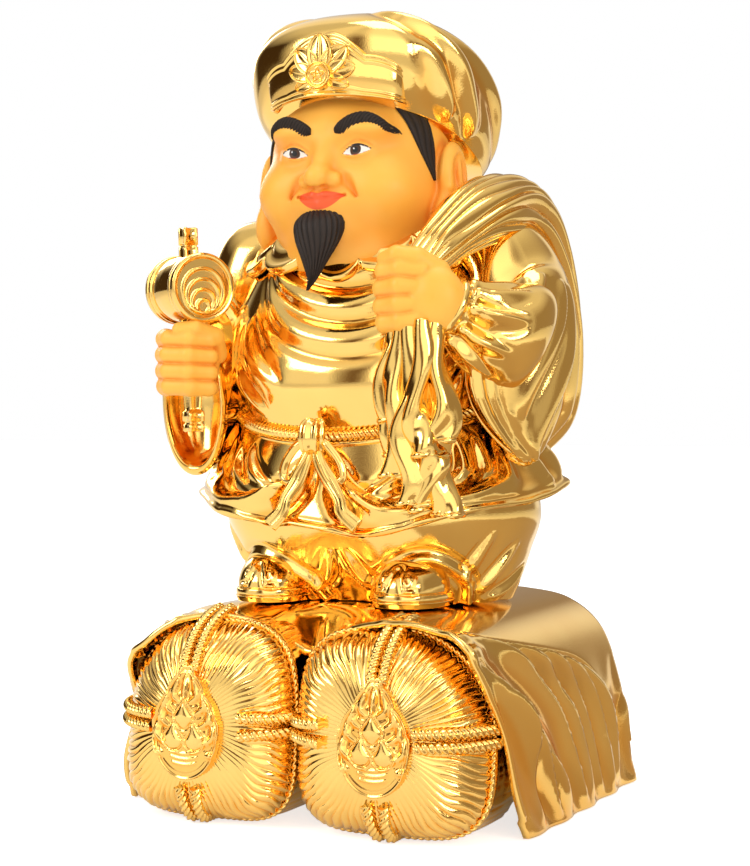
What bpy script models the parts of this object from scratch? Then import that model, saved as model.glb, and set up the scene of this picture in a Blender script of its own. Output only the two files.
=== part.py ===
"""A gilded bearded merchant figure with a mallet and a sack, standing on two straw bales under a cloth.

The figurine is an assembly of hollow and solid castings. +Z is up, the figure faces -Y and its own
left side, with the sack, is towards +X. The origin is the middle of the felt that the base rests on.
Everything is in metres. The figure is modelled from its soles up, in the frame of an empty that stands
on the cloth, and the mallet in the frame of an empty on the axis of its handle.
"""

import math

import bmesh
import bpy
from mathutils import Vector

MM = 0.001
GAP = 0.3 * MM

# Base: two bales side by side, their domed ends forward, on a plate with a felt under it.
BALE_RADIUS = 49.5 * MM
BALE_DOME = 50 * MM
BALE_DOME_POWER = 2.6
BALE_BARREL = 132 * MM
BALE_BACK_DOME = 7 * MM
BALE_WALL = 5 * MM
BASE_DEPTH = BALE_DOME + BALE_BARREL + BALE_BACK_DOME
FLOOR_CLEARANCE = 0.8 * MM
FELT_THICKNESS = 1.5 * MM
PLATE_THICKNESS = 5 * MM
PLATE_FRONT_INSET = 72 * MM
PLATE_BACK_INSET = 22 * MM
PLATE_SIDE_INSET = 30 * MM
PLATE_CORNER = 14 * MM
BALE_X = BALE_RADIUS + GAP / 2
BALE_Z = FLOOR_CLEARANCE + BALE_RADIUS
BALE_FRONT_Y = -BASE_DEPTH / 2 - 2 * MM
PLATE_TOP = FELT_THICKNESS + GAP + PLATE_THICKNESS
BALE_SIDES = 26

# Straw ropes and the flame plaque on each dome.
ROPE_DIAMETER = 5.6 * MM
ROPE_PITCH = 6.2 * MM
PLAQUE_WIDTH = 34 * MM
PLAQUE_HEIGHT = 48 * MM
PLAQUE_THICKNESS = 5.5 * MM
PLAQUE_SIDES = 20

# Cloth over the bales, open in front and underneath.
CLOTH = 3.6 * MM
CLOTH_FLARE = 8 * MM
CLOTH_FRONT_LOW_Y = BALE_FRONT_Y + BALE_DOME - 1 * MM
CLOTH_FRONT_HIGH_Y = BALE_FRONT_Y + 0.62 * BALE_DOME
CLOTH_BACK_Y = BALE_FRONT_Y + BASE_DEPTH + GAP + CLOTH
CLOTH_BACK_LEAN = 6 * MM
CLOTH_ARC_STEPS = 8
CLOTH_INNER_RADIUS = BALE_RADIUS + GAP
FEET_Z = BALE_Z + CLOTH_INNER_RADIUS + CLOTH + GAP

# Figure, in its own frame with z = 0 at the soles.
WALL = 4.5 * MM
SIDES = 22
SHOE_X = 38 * MM
SHOE_Y = -26 * MM
SHOE_WIDTH = 36 * MM
SHOE_LENGTH = 48 * MM
SHOE_HEIGHT = 22 * MM
SCREW_X = 38 * MM
SCREW_Y = -22 * MM
SCREW_RADIUS = 2.5 * MM
SCREW_HEAD_RADIUS = 5 * MM
SCREW_HEAD_HEIGHT = 3.5 * MM
SCREW_BITE = 12 * MM

# Each row of a profile is height, y of the middle, half width, half depth, rise per metre to the back.
TROUSERS = [
    (0.0, 19, 70, 52, 0),
    (22, 18, 81, 61, 0),
    (46, 17, 86, 65, 0),
    (64, 16, 76, 60, 0),
    (76, 16, 60, 52, 0),
]
TORSO = [
    (97, 14, 70, 64, 0.22),
    (118, 12, 79, 69, 0.15),
    (138, 12, 77, 63, 0.08),
    (164, 11, 66, 52, 0),
    (182, 10, 52, 42, 0),
    (194, 10, 36, 34, 0),
]
SKIRT = [
    (55, 16, 93, 82, 0.15),
    (76, 15, 82, 72, 0.20),
    (96.7, 14, 71, 65, 0.22),
]
SKIRT_WALL = 3.5 * MM
COLLAR_FROM = 166 * MM
COLLAR_TO = 190 * MM
COLLAR_THICKNESS = 2.4 * MM
BELT_RADIUS = 4.2 * MM
BELT_STANDOFF = 1.6 * MM
BELT_STEPS = 24
BOW_THICKNESS = 7 * MM

HEAD_Y = -8 * MM
HEAD_Z = 208 * MM
HEAD = [
    (-50, -6, 13, 11, 0),
    (-42, -5, 28, 24, 0),
    (-28, -2, 42, 36, 0),
    (-10, 0, 47, 42, 0),
    (10, 0, 47, 43, 0),
    (30, 2, 44, 42, 0),
    (46, 4, 33, 33, 0),
    (55, 5, 16, 16, 0),
]
NECK_RADIUS = 21 * MM
NECK_Y = 6 * MM
NECK_LENGTH = 22 * MM
DOWEL_RADIUS = 5 * MM
DOWEL_LENGTH = 36 * MM
EAR_X = 47.5 * MM
EAR_THICKNESS = 6.5 * MM
GOATEE = [
    (159, -56, 1.6, 1.6, 0),
    (168, -56, 6, 4, 0),
    (179, -53, 11, 8, 0),
    (189, -50, 12, 9, 0),
    (195, -48, 8, 7, 0),
]
CAP_BAND = [
    (236, -3, 49.5, 48, -0.25),
    (246, -3, 51, 49.5, -0.25),
    (258, -2, 50, 49, -0.25),
]
CAP_CROWN = [
    (234, 14, 49, 57, -0.30),
    (246, 13, 55, 61, -0.28),
    (262, 12, 57, 61, -0.25),
    (278, 10, 49, 52, -0.20),
    (290, 6, 33, 35, -0.12),
    (295.6, 4, 15, 16, -0.04),
]
MEDALLION_WIDTH = 33 * MM
MEDALLION_HEIGHT = 20 * MM
MEDALLION_THICKNESS = 4 * MM
MEDALLION_DEPTH = 9 * MM
MEDALLION_Z = 259 * MM

# Each row of a limb is the middle of a ring and its two half axes.
SLEEVE_RIGHT = [
    ((-36, 12, 182), (0, 20, 0), (-4, 0, 17)),
    ((-60, 8, 174), (0, 24, 0), (-18, 0, 20)),
    ((-74, 4, 152), (-6, 23, 2), (-20, -2, 14)),
    ((-80, -8, 126), (-17, 12, 2), (-10, -8, 32)),
    ((-80, -28, 109), (-18, 3, 0), (0, -4, 41)),
    ((-77, -46, 102), (-17, 0, 0), (0, -2, 36)),
]
SLEEVE_LEFT = [
    ((36, 12, 182), (0, 20, 0), (4, 0, 17)),
    ((62, 12, 172), (0, 26, 0), (18, 0, 20)),
    ((78, 8, 152), (8, 26, 0), (18, 0, 20)),
    ((90, -4, 124), (16, 14, 0), (6, -6, 42)),
    ((87, -24, 112), (17, 4, 0), (2, -4, 43)),
    ((82, -42, 110), (12, 2, 0), (0, -2, 36)),
]
SACK = [
    ((56, -58, 166), (11, 2, 0), (0, -7, 5)),
    ((60, -42, 188), (15, 2, 0), (0, -8, 8)),
    ((62, -14, 204), (21, 2, 0), (0, -4, 15)),
    ((62, 22, 202), (25, 2, 0), (0, 8, 18)),
    ((60, 48, 176), (30, 2, 0), (0, 22, 16)),
    ((54, 60, 135), (38, 2, 0), (0, 32, 4)),
    ((48, 61, 95), (40, 2, 0), (0, 33, -4)),
    ((44, 58, 66), (30, 2, 0), (0, 24, -4)),
]
SACK_TAIL = [
    (132, -60, 11, 8, 0),
    (112, -60, 16, 10, 0),
    (86, -58, 18, 11, 0),
    (64, -60, 16, 10, 0),
    (47, -62, 9, 6, 0),
]
SACK_TAIL_X = 58 * MM
HAND_LEFT = Vector((57, -60, 150)) * MM
HAND_LEFT_HALF = Vector((20, 14, 19)) * MM
WRIST_LEFT_END = Vector((84, -38, 132)) * MM
WRIST_RADIUS = 12 * MM

# Mallet, in a frame on the handle's axis with z = 0 at the middle of the fist.
FIST = Vector((-69, -60, 120)) * MM
FIST_HALF = Vector((15.5, 13.5, 16.5)) * MM
WRIST_RIGHT_END = Vector((-81, -27, 116)) * MM
MALLET_TILT = math.radians(-2)
HANDLE_SIDE = 8 * MM
HANDLE_FOOT_SIDE = HANDLE_SIDE + 1.4 * MM
HANDLE_FOOT_HEIGHT = 11 * MM
HANDLE_BELOW = 35 * MM
HANDLE_ABOVE = 68 * MM
HANDLE_SHOULDER_SIDE = HANDLE_SIDE + 4 * MM
HANDLE_SHOULDER_HEIGHT = 2.4 * MM
DRUM_RADIUS = 17.5 * MM
DRUM_LENGTH = 32 * MM
DRUM_Z = FIST_HALF.z + 2 * GAP + HANDLE_SHOULDER_HEIGHT + DRUM_RADIUS
DRUM_TURN = math.radians(57)
DRUM_SIDES = 24
FIST_BORE_CLEARANCE = 0.35 * MM

for leftover in list(bpy.data.objects):
    bpy.data.objects.remove(leftover, do_unlink=True)


# ---------------------------------------------------------------- materials


def make_material(name, colour, roughness, metallic):
    material = bpy.data.materials.new(name)
    material.use_nodes = True
    shader = material.node_tree.nodes["Principled BSDF"]
    shader.inputs["Base Color"].default_value = (*colour, 1)
    shader.inputs["Roughness"].default_value = roughness
    shader.inputs["Metallic"].default_value = metallic
    return material


GOLD = make_material("gold_plating", (0.95, 0.62, 0.18), 0.12, 1.0)
SKIN = make_material("matte_gilt_skin", (0.93, 0.50, 0.10), 0.5, 0.15)
HAIR = make_material("black_hair", (0.02, 0.015, 0.012), 0.6, 0.0)
STEEL = make_material("steel_fastener", (0.6, 0.6, 0.62), 0.3, 1.0)
BOARD = make_material("black_board", (0.03, 0.03, 0.03), 0.7, 0.0)
FELT = make_material("brown_felt", (0.12, 0.05, 0.03), 0.95, 0.0)
WOOD = make_material("dowel_wood", (0.6, 0.42, 0.24), 0.7, 0.0)


# ---------------------------------------------------------------- shape helpers


def ring(centre, across, along, sides=SIDES, power=2.0):
    """Points round an ellipse with these half axes; a power over 2 squares it off."""
    points = []
    for i in range(sides):
        cosine = math.cos(math.tau * i / sides)
        sine = math.sin(math.tau * i / sides)
        first = math.copysign(abs(cosine) ** (2 / power), cosine)
        second = math.copysign(abs(sine) ** (2 / power), sine)
        points.append(centre + across * first + along * second)
    return points


def profile_rings(profile, grow=0.0, x=0.0, y=0.0, z=0.0, power=2.0, sides=SIDES):
    """Rings of a stacked profile, swollen by grow all round and past both ends."""
    rings = []
    for height, middle, half_width, half_depth, rise in profile:
        centre = Vector((x, middle * MM + y, height * MM + z))
        across = Vector((half_width * MM + grow, 0, 0))
        along = Vector((0, 1, rise)) * (half_depth * MM + grow)
        rings.append(ring(centre, across, along, sides, power))
    return with_ends(rings, Vector((0, 0, 1)), Vector((0, 0, 1)), grow)


def limb_rings(rows, grow=0.0, sides=SIDES):
    """Rings along a limb, swollen by grow all round and past both ends."""
    rings = []
    for middle, across, upward in rows:
        across = Vector(across) * MM
        upward = Vector(upward) * MM
        across += across.normalized() * grow
        upward += upward.normalized() * grow
        rings.append(ring(Vector(middle) * MM, across, upward, sides))
    first = Vector(rows[1][0]) - Vector(rows[0][0])
    last = Vector(rows[-1][0]) - Vector(rows[-2][0])
    return with_ends(rings, first.normalized(), last.normalized(), grow)


def with_ends(rings, first, last, grow):
    """Adds a ring beyond each end, as far out as the swelling."""
    if not grow:
        return rings
    return [[p - first * grow for p in rings[0]], *rings, [p + last * grow for p in rings[-1]]]


def bridge(bm, low, high):
    for i in range(len(low)):
        j = (i + 1) % len(low)
        bm.faces.new((low[i], low[j], high[j], high[i]))


def skin(rings):
    """A closed body over the rings, with a face on each end."""
    bm = bmesh.new()
    loops = [[bm.verts.new(point) for point in points] for points in rings]
    for low, high in zip(loops, loops[1:]):
        bridge(bm, low, high)
    bm.faces.new(loops[0])
    bm.faces.new(loops[-1])
    return bm


def shell(outer, inner, closed_top=True):
    """A walled body, open at its first ring, and at its last too unless closed_top."""
    bm = bmesh.new()
    outside = [[bm.verts.new(point) for point in points] for points in outer]
    inside = [[bm.verts.new(point) for point in points] for points in inner]
    for loops in (outside, inside):
        for low, high in zip(loops, loops[1:]):
            bridge(bm, low, high)
    bridge(bm, outside[0], inside[0])
    if closed_top:
        bm.faces.new(outside[-1])
        bm.faces.new(inside[-1])
    else:
        bridge(bm, outside[-1], inside[-1])
    return bm


def thinned(profile, wall):
    """The inside of a profile: narrower by the wall all round and lower by it at the top."""
    rows = [list(row) for row in profile]
    for row in rows:
        row[2] -= wall / MM
        row[3] -= wall / MM
    rows[-1][0] -= wall / MM
    return rows


def at_height(profile, height):
    """A profile's row at a height between two of its rows, on the straight line between them."""
    for low, high in zip(profile, profile[1:]):
        if low[0] <= height <= high[0]:
            share = (height - low[0]) / (high[0] - low[0])
            return tuple(a + (b - a) * share for a, b in zip(low, high))
    raise ValueError("the height is outside the profile")


def place(name, bm, material, parent=None, smooth=35):
    """Makes an object of the mesh, shaded smooth apart from edges sharper than the angle."""
    bmesh.ops.recalc_face_normals(bm, faces=bm.faces)
    mesh = bpy.data.meshes.new(name)
    bm.to_mesh(mesh)
    bm.free()
    mesh.shade_smooth()
    mesh.set_sharp_from_angle(angle=math.radians(smooth))
    thing = bpy.data.objects.new(name, mesh)
    bpy.context.scene.collection.objects.link(thing)
    thing.data.materials.append(material)
    thing.parent = parent
    return thing


def helper(name, bm, parent=None):
    """A cutter or a form to be joined on, which is no piece of its own."""
    thing = place("form_" + name, bm, GOLD, parent)
    thing.hide_render = True
    thing.display_type = "WIRE"
    return thing


def boolean(target, operation, *others):
    for other in others:
        modifier = target.modifiers.new(operation.lower() + "_" + other.name, "BOOLEAN")
        modifier.operation = operation
        modifier.object = other
        modifier.solver = "EXACT"


def cut(target, *others):
    boolean(target, "DIFFERENCE", *others)


def join(target, *others):
    boolean(target, "UNION", *others)


def empty(name, location=(0, 0, 0), parent=None):
    thing = bpy.data.objects.new(name, None)
    thing.location = location
    thing.parent = parent
    bpy.context.scene.collection.objects.link(thing)
    return thing


def round_bar(radius, low, high, x=0.0, y=0.0, sides=20):
    return skin([ring(Vector((x, y, z)), Vector((radius, 0, 0)), Vector((0, radius, 0)), sides) for z in (low, high)])


def ball(centre, half, grow=0.0, sides=20, layers=7, power=2.0):
    """An ellipsoid with small flat poles."""
    rings = []
    for i in range(layers):
        lift = math.radians(-80 + 160 * i / (layers - 1))
        spread = math.cos(lift)
        height = centre + Vector((0, 0, (half.z + grow) * math.sin(lift)))
        across = Vector(((half.x + grow) * spread, 0, 0))
        along = Vector((0, (half.y + grow) * spread, 0))
        rings.append(ring(height, across, along, sides, power))
    return skin(rings)


def between(start, end, radius, grow=0.0, sides=18):
    """A round bar from one point to another."""
    forward = (end - start).normalized()
    across = forward.cross(Vector((0, 0, 1))).normalized() * (radius + grow)
    upward = across.cross(forward)
    return skin([ring(point, across, upward, sides) for point in (start, end)])


# ---------------------------------------------------------------- base


def plate_outline(inset):
    """Half sizes and middle of the plate under the base, drawn in by inset."""
    half_width = 2 * BALE_RADIUS - PLATE_SIDE_INSET - inset
    front = BALE_FRONT_Y + PLATE_FRONT_INSET + inset
    back = BALE_FRONT_Y + BASE_DEPTH - PLATE_BACK_INSET - inset
    return half_width, front, back


def slab(low, high, inset):
    half_width, front, back = plate_outline(inset)
    rings = []
    for z in (low, high):
        points = []
        corners = ((half_width, back, 0), (-half_width, back, 90), (-half_width, front, 180), (half_width, front, 270))
        for x, y, start in corners:
            middle_x = x - math.copysign(PLATE_CORNER, x)
            middle_y = y - math.copysign(PLATE_CORNER, y - (front + back) / 2)
            for step in range(5):
                turn = math.radians(start + 22.5 * step)
                points.append(
                    Vector((middle_x + PLATE_CORNER * math.cos(turn), middle_y + PLATE_CORNER * math.sin(turn), z))
                )
        rings.append(points)
    return skin(rings)


def dome_place(away, grow=0.0):
    """Radius, and depth behind the front pole, of the dome's profile at an angle from the pole."""
    radius = (BALE_RADIUS + grow) * math.sin(away) ** (2 / BALE_DOME_POWER)
    depth = BALE_DOME - (BALE_DOME + grow) * math.cos(away) ** (2 / BALE_DOME_POWER)
    return radius, depth


def bale_rings(grow=0.0, sides=BALE_SIDES):
    """Rings of a bale in its own frame, whose origin is the front pole on the bale's axis."""
    rows = [dome_place(math.radians(away), grow) for away in (6, 16, 30, 46, 62, 76, 90)]
    back = BALE_DOME + BALE_BARREL
    rows += [(BALE_RADIUS + grow, back), (BALE_RADIUS - BALE_BACK_DOME, back + BALE_BACK_DOME + grow)]
    return [ring(Vector((0, y, 0)), Vector((r, 0, 0)), Vector((0, 0, r)), sides) for r, y in rows]


def dome_point(turn, away, standoff):
    """A point over a dome: turn is the direction seen from the front, away the angle from the pole."""
    radius, depth = dome_place(away)
    before = dome_place(max(away - 0.01, 0))
    after = dome_place(away + 0.01)
    run = Vector((after[0] - before[0], after[1] - before[1])).normalized()
    radial = Vector((math.cos(turn), 0, math.sin(turn)))
    outward = radial * run.y - Vector((0, 1, 0)) * run.x
    return radial * radius + Vector((0, depth, 0)) + outward * standoff, outward


def away_at(reach):
    """The angle from the pole at which the dome is this far from its axis."""
    return math.asin((reach / BALE_RADIUS) ** (BALE_DOME_POWER / 2))


def away_behind(depth):
    """The angle from the pole at which the dome is this far behind the pole."""
    return math.acos(((BALE_DOME - depth) / BALE_DOME) ** (BALE_DOME_POWER / 2))


def rope_rings(turn, start, end, steps=6):
    """Rings of a rope pair that runs from the plaque back over the dome."""
    sideways = Vector((-math.sin(turn), 0, math.cos(turn)))
    half = ROPE_DIAMETER / 2
    rings = []
    for i in range(steps):
        away = start + (end - start) * i / (steps - 1)
        middle, outward = dome_point(turn, away, half + 2 * GAP)
        points = []
        for side in (1, -1):
            for step in range(5):
                lean = math.radians(75 - 37.5 * step) if side == 1 else math.radians(-105 - 37.5 * step)
                offset = side * ROPE_PITCH / 2 + half * math.cos(lean)
                points.append(middle + sideways * offset + outward * half * math.sin(lean))
        rings.append(points)
    return rings


def plaque_outline(scale=1.0):
    """A flame-shaped drop: round below, drawn up to a point."""
    points = []
    for i in range(PLAQUE_SIDES):
        turn = math.tau * i / PLAQUE_SIDES
        height = math.sin(turn)
        taper = 1 - 0.42 * max(height, 0) ** 1.5
        x = PLAQUE_WIDTH / 2 * math.cos(turn) * taper * scale
        z = PLAQUE_HEIGHT / 2 * height * scale
        points.append((x, z))
    return points


def plaque_body():
    """The plaque follows the dome behind it, a little proud of it."""
    rings = []
    for standoff, scale in ((2 * GAP, 1.0), (PLAQUE_THICKNESS * 0.6, 1.0), (PLAQUE_THICKNESS, 0.86)):
        points = []
        for x, z in plaque_outline(scale):
            reach = math.hypot(x, z)
            points.append(dome_point(math.atan2(z, x), away_at(reach), standoff)[0])
        rings.append(points)
    bm = bmesh.new()
    loops = [[bm.verts.new(point) for point in points] for points in rings]
    for low, high in zip(loops, loops[1:]):
        bridge(bm, low, high)
    for loop, standoff in ((loops[0], 2 * GAP), (loops[-1], PLAQUE_THICKNESS)):
        middle = []
        for vert, (x, z) in zip(loop, plaque_outline(0.45)):
            away = away_at(math.hypot(x, z))
            middle.append(bm.verts.new(dome_point(math.atan2(z, x), away, standoff)[0]))
        bridge(bm, loop, middle)
        pole = bm.verts.new(dome_point(0, 0, standoff)[0])
        for i in range(len(middle)):
            bm.faces.new((middle[i], middle[(i + 1) % len(middle)], pole))
    return bm


def arch(half_foot, radius, y_low, y_high, foot_z):
    """An arch over both bales in one plane, leaning from y_low at the floor to y_high on top."""
    top = BALE_Z + radius
    points = [(-half_foot, foot_z)]
    for side, start in ((-1, 180), (1, 90)):
        for i in range(CLOTH_ARC_STEPS + 1):
            turn = math.radians(start - 90 * i / CLOTH_ARC_STEPS)
            points.append((side * BALE_X + radius * math.cos(turn), BALE_Z + radius * math.sin(turn)))
    points.append((half_foot, foot_z))
    return [Vector((x, y_low + (y_high - y_low) * (z - foot_z) / (top - foot_z), z)) for x, z in points]


def cloth_body(parent):
    foot = BALE_X + BALE_RADIUS + GAP + CLOTH + CLOTH_FLARE
    radius = CLOTH_INNER_RADIUS + CLOTH
    front = arch(foot, radius, CLOTH_FRONT_LOW_Y, CLOTH_FRONT_HIGH_Y, FLOOR_CLEARANCE)
    back = arch(foot, radius, CLOTH_BACK_Y + CLOTH_BACK_LEAN, CLOTH_BACK_Y, FLOOR_CLEARANCE)
    cloth = place("drape_cloth", skin([front, back]), GOLD, parent)
    inner_foot = foot - CLOTH
    below = FLOOR_CLEARANCE - CLOTH
    reach = BALE_DOME
    hollow_front = arch(inner_foot, CLOTH_INNER_RADIUS, CLOTH_FRONT_LOW_Y - reach, CLOTH_FRONT_HIGH_Y - reach, below)
    hollow_back = arch(inner_foot, CLOTH_INNER_RADIUS, CLOTH_BACK_Y + CLOTH_BACK_LEAN - CLOTH, CLOTH_BACK_Y - CLOTH, below)
    cut(cloth, helper("cloth_hollow", skin([hollow_front, hollow_back]), parent))
    return cloth


def build_base(base):
    place("base_felt", slab(0, FELT_THICKNESS, GAP), FELT, base)
    place("base_plate", slab(FELT_THICKNESS + GAP, PLATE_TOP, GAP), BOARD, base)
    well = helper("plate_well", slab(-FELT_THICKNESS, PLATE_TOP + GAP, -GAP), base)
    for side, sign in (("right", -1), ("left", 1)):
        centre = empty("bale_" + side + "_pole", (sign * BALE_X, BALE_FRONT_Y, BALE_Z), base)
        bale = place("straw_bale_" + side, skin(bale_rings()), GOLD, centre)
        hollow = helper("bale_hollow_" + side, skin(bale_rings(-BALE_WALL, 14)), centre)
        cut(bale, hollow, well)
        plaque = place("flame_plaque_" + side, plaque_body(), GOLD, centre)
        plaque.data.shade_smooth()
        top_start = away_at(PLAQUE_HEIGHT / 2 + 2 * GAP)
        side_start = away_at(PLAQUE_WIDTH / 2 + 2 * GAP)
        lip = away_behind(CLOTH_FRONT_HIGH_Y - BALE_FRONT_Y - 3 * GAP)
        seam = away_at(BALE_RADIUS - ROPE_DIAMETER - 4 * GAP)
        flank = away_behind(0.74 * BALE_DOME)
        # The top ropes stop at the cloth's lip, the bottom ones off the floor, the inner ones where the bales meet.
        runs = (
            ("top", 90, top_start, lip),
            ("bottom", 270, top_start, seam),
            ("outer", 180 if sign < 0 else 0, side_start, flank),
            ("inner", 0 if sign < 0 else 180, side_start, seam),
        )
        for run, turn, start, end in runs:
            place("rope_" + run + "_" + side, skin(rope_rings(math.radians(turn), start, end)), GOLD, centre, 60)
    return cloth_body(base)


# ---------------------------------------------------------------- figure


def shoe_rings(grow=0.0):
    half = SHOE_WIDTH / 2
    reach = SHOE_LENGTH / 2
    rows = ((0, 1.0), (0.34, 1.0), (0.40, 0.93), (0.72, 0.82), (1.0, 0.5))
    rings = []
    for height, share in rows:
        z = height * SHOE_HEIGHT + (grow if height == 1.0 else -grow if height == 0 else 0)
        back = (1 - share) * reach * 0.4
        across = Vector((half * share + grow, 0, 0))
        along = Vector((0, reach * share + grow, 0))
        rings.append(ring(Vector((0, back, z)), across, along, 24, 2.5))
    return rings


def head_form(name, parent, grow=0.0, as_piece=False):
    """The head with its ears and neck, as the piece or as a cutter swollen by grow."""
    body = skin(profile_rings(HEAD, grow, y=HEAD_Y, z=HEAD_Z))
    head = place(name, body, SKIN, parent) if as_piece else helper(name, body, parent)
    neck_low = HEAD_Z - 46 * MM - NECK_LENGTH - grow
    neck = round_bar(NECK_RADIUS + grow, neck_low, HEAD_Z, y=NECK_Y, sides=24)
    forms = [helper(name + "_neck", neck, parent)]
    for side in (-1, 1):
        shell_half = Vector((EAR_THICKNESS, 11 * MM, 19 * MM))
        lobe_half = Vector((EAR_THICKNESS + 1 * MM, 8 * MM, 12 * MM))
        shell_at = Vector((side * EAR_X, 3 * MM, HEAD_Z + 4 * MM))
        lobe_at = Vector((side * EAR_X, -2 * MM, HEAD_Z - 22 * MM))
        forms.append(helper(f"{name}_ear_{side}", ball(shell_at, shell_half, grow, 12, 5), parent))
        forms.append(helper(f"{name}_lobe_{side}", ball(lobe_at, lobe_half, grow, 12, 5), parent))
    join(head, *forms)
    return head


def build_head(figure):
    cutter = head_form("head_room", figure, GAP)
    head = head_form("head", figure, as_piece=True)
    dowel_low = HEAD_Z - 46 * MM - NECK_LENGTH - DOWEL_LENGTH / 2
    place("neck_dowel", round_bar(DOWEL_RADIUS, dowel_low, dowel_low + DOWEL_LENGTH, y=NECK_Y), WOOD, figure)
    dowel_room = helper(
        "dowel_room",
        round_bar(DOWEL_RADIUS + GAP, dowel_low - GAP, dowel_low + DOWEL_LENGTH + GAP, y=NECK_Y),
        figure,
    )
    cut(head, dowel_room)
    goatee = place("goatee", skin(profile_rings(GOATEE, sides=18)), HAIR, figure)
    cut(goatee, cutter)
    goatee_room = helper("goatee_room", skin(profile_rings(GOATEE, 2 * GAP, sides=18)), figure)
    band = place("cap_band", skin(profile_rings(CAP_BAND)), GOLD, figure)
    cut(band, cutter)
    band_room = helper("band_room", skin(profile_rings(CAP_BAND, GAP)), figure)
    crown = place("cap_crown", skin(profile_rings(CAP_CROWN)), GOLD, figure)
    cut(crown, cutter, band_room)
    medallion = place("cap_medallion", medallion_body(), GOLD, figure)
    cut(medallion, band_room, cutter)
    cut(crown, helper("medallion_room", medallion_body(GAP), figure))
    return cutter, dowel_room, goatee_room


def medallion_body(grow=0.0):
    """A low oval badge that stands on the front of the band."""
    front = (CAP_BAND[1][1] - CAP_BAND[1][3]) * MM - MEDALLION_THICKNESS
    rings = []
    for y, share in ((front + MEDALLION_DEPTH, 1.0), (front + 1.5 * MM, 1.0), (front, 0.8)):
        across = Vector((MEDALLION_WIDTH / 2 * share + grow, 0, 0))
        along = Vector((0, 0, MEDALLION_HEIGHT / 2 * share + grow))
        offset = -grow if share < 1 else 0
        rings.append(ring(Vector((0, y + offset, MEDALLION_Z)), across, along, 28))
    return skin(rings)


def build_robe(figure, head_room, dowel_room, goatee_room):
    torso_outer = profile_rings(TORSO)
    torso_inner = profile_rings(thinned(TORSO, WALL))
    torso = place("robe_torso", shell(torso_outer, torso_inner), GOLD, figure)
    cut(torso, head_room, dowel_room)
    torso_room = helper("torso_room", skin(profile_rings(TORSO, GAP)), figure)

    skirt_inner = [(row[0], row[1], row[2] - SKIRT_WALL / MM, row[3] - SKIRT_WALL / MM, row[4]) for row in SKIRT]
    skirt = place("robe_skirt", shell(profile_rings(SKIRT), profile_rings(skirt_inner), False), GOLD, figure)
    skirt_room = helper("skirt_room", skin(profile_rings(SKIRT, GAP)), figure)
    cut(skirt, torso_room)

    rows = [at_height(TORSO, height / MM) for height in (COLLAR_FROM, TORSO[4][0] * MM, COLLAR_TO)]
    inner = profile_rings(rows)
    outer = [
        ring(
            Vector((0, row[1] * MM, row[0] * MM)),
            Vector((row[2] * MM + COLLAR_THICKNESS, 0, 0)),
            Vector((0, row[3] * MM + COLLAR_THICKNESS, 0)),
        )
        for row in rows
    ]
    collar = place("scalloped_collar", shell(outer, inner, False), GOLD, figure)
    cut(collar, head_room, goatee_room, torso_room)
    return torso_room, skirt_room


def belt_body(grow=0.0):
    """A cord round the waist, along the seam between the torso and the skirt."""
    height, middle, half_width, half_depth, rise = TORSO[0]
    bm = bmesh.new()
    loops = []
    for i in range(BELT_STEPS):
        turn = math.tau * i / BELT_STEPS
        out = Vector((math.cos(turn), math.sin(turn), 0))
        x = (half_width * MM + BELT_STANDOFF) * out.x
        y = (half_depth * MM + BELT_STANDOFF) * out.y
        centre = Vector((x, middle * MM + y, height * MM + rise * y))
        radius = BELT_RADIUS + grow
        loops.append([bm.verts.new(p) for p in ring(centre, out * radius, Vector((0, 0, radius)), 8)])
    for i, loop in enumerate(loops):
        bridge(bm, loop, loops[(i + 1) % BELT_STEPS])
    return bm


def bow_body(figure):
    """The knot, two loops and two tails, lying on the front of the skirt."""
    height, middle, _, half_depth, rise = TORSO[0]
    knot_z = (height - rise * half_depth) * MM
    knot_y = (middle - half_depth) * MM - BELT_STANDOFF - BELT_RADIUS - 1 * MM
    knot = Vector((0, knot_y, knot_z))
    piece = place("belt_bow", ball(knot, Vector((6, 5, 6.5)) * MM, 0, 10, 5), GOLD, figure)
    forms = []
    for side in (-1, 1):
        loop_at = knot + Vector((side * 11, -1.5, -9)) * MM
        forms.append(helper(f"bow_loop_{side}", ball(loop_at, Vector((7.5, 3.5, 10)) * MM, 0, 10, 5), figure))
        start = knot + Vector((side * 3, 0, -3)) * MM
        end = knot + Vector((side * 15, -12, -38)) * MM
        wide = Vector((6, 0, 2)) * MM
        deep = Vector((0, BOW_THICKNESS / 2, 0))
        tail = skin([ring(start, wide * 0.6, deep, 8), ring(end, wide, deep, 8)])
        forms.append(helper(f"bow_tail_{side}", tail, figure))
    join(piece, *forms)
    return piece


def build_legs(figure, base_parent):
    outer = profile_rings(TROUSERS)
    trousers = place("trousers", shell(outer, profile_rings(thinned(TROUSERS, WALL))), GOLD, figure)
    for side, sign in (("right", -1), ("left", 1)):
        shoe = place("shoe_" + side, skin(shoe_rings()), GOLD, figure, 50)
        shoe.location = (sign * SHOE_X, SHOE_Y, 0)
        room = helper("shoe_room_" + side, skin(shoe_rings(GAP)), figure)
        room.location = shoe.location
        cut(trousers, room)
        low = BALE_Z + BALE_RADIUS - BALE_WALL - 3 * GAP - SCREW_HEAD_HEIGHT
        shank_top = FEET_Z + SCREW_BITE
        screw = place("foot_screw_" + side, screw_body(low, shank_top, 0.0), STEEL, base_parent)
        screw.location = (sign * SCREW_X, SCREW_Y, 0)
        screw_room = helper("screw_room_" + side, screw_body(low - 12 * MM, shank_top + GAP, GAP), base_parent)
        screw_room.location = screw.location
        cut(shoe, screw_room)
        for target in ("drape_cloth", "straw_bale_" + side):
            cut(bpy.data.objects[target], screw_room)


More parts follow.
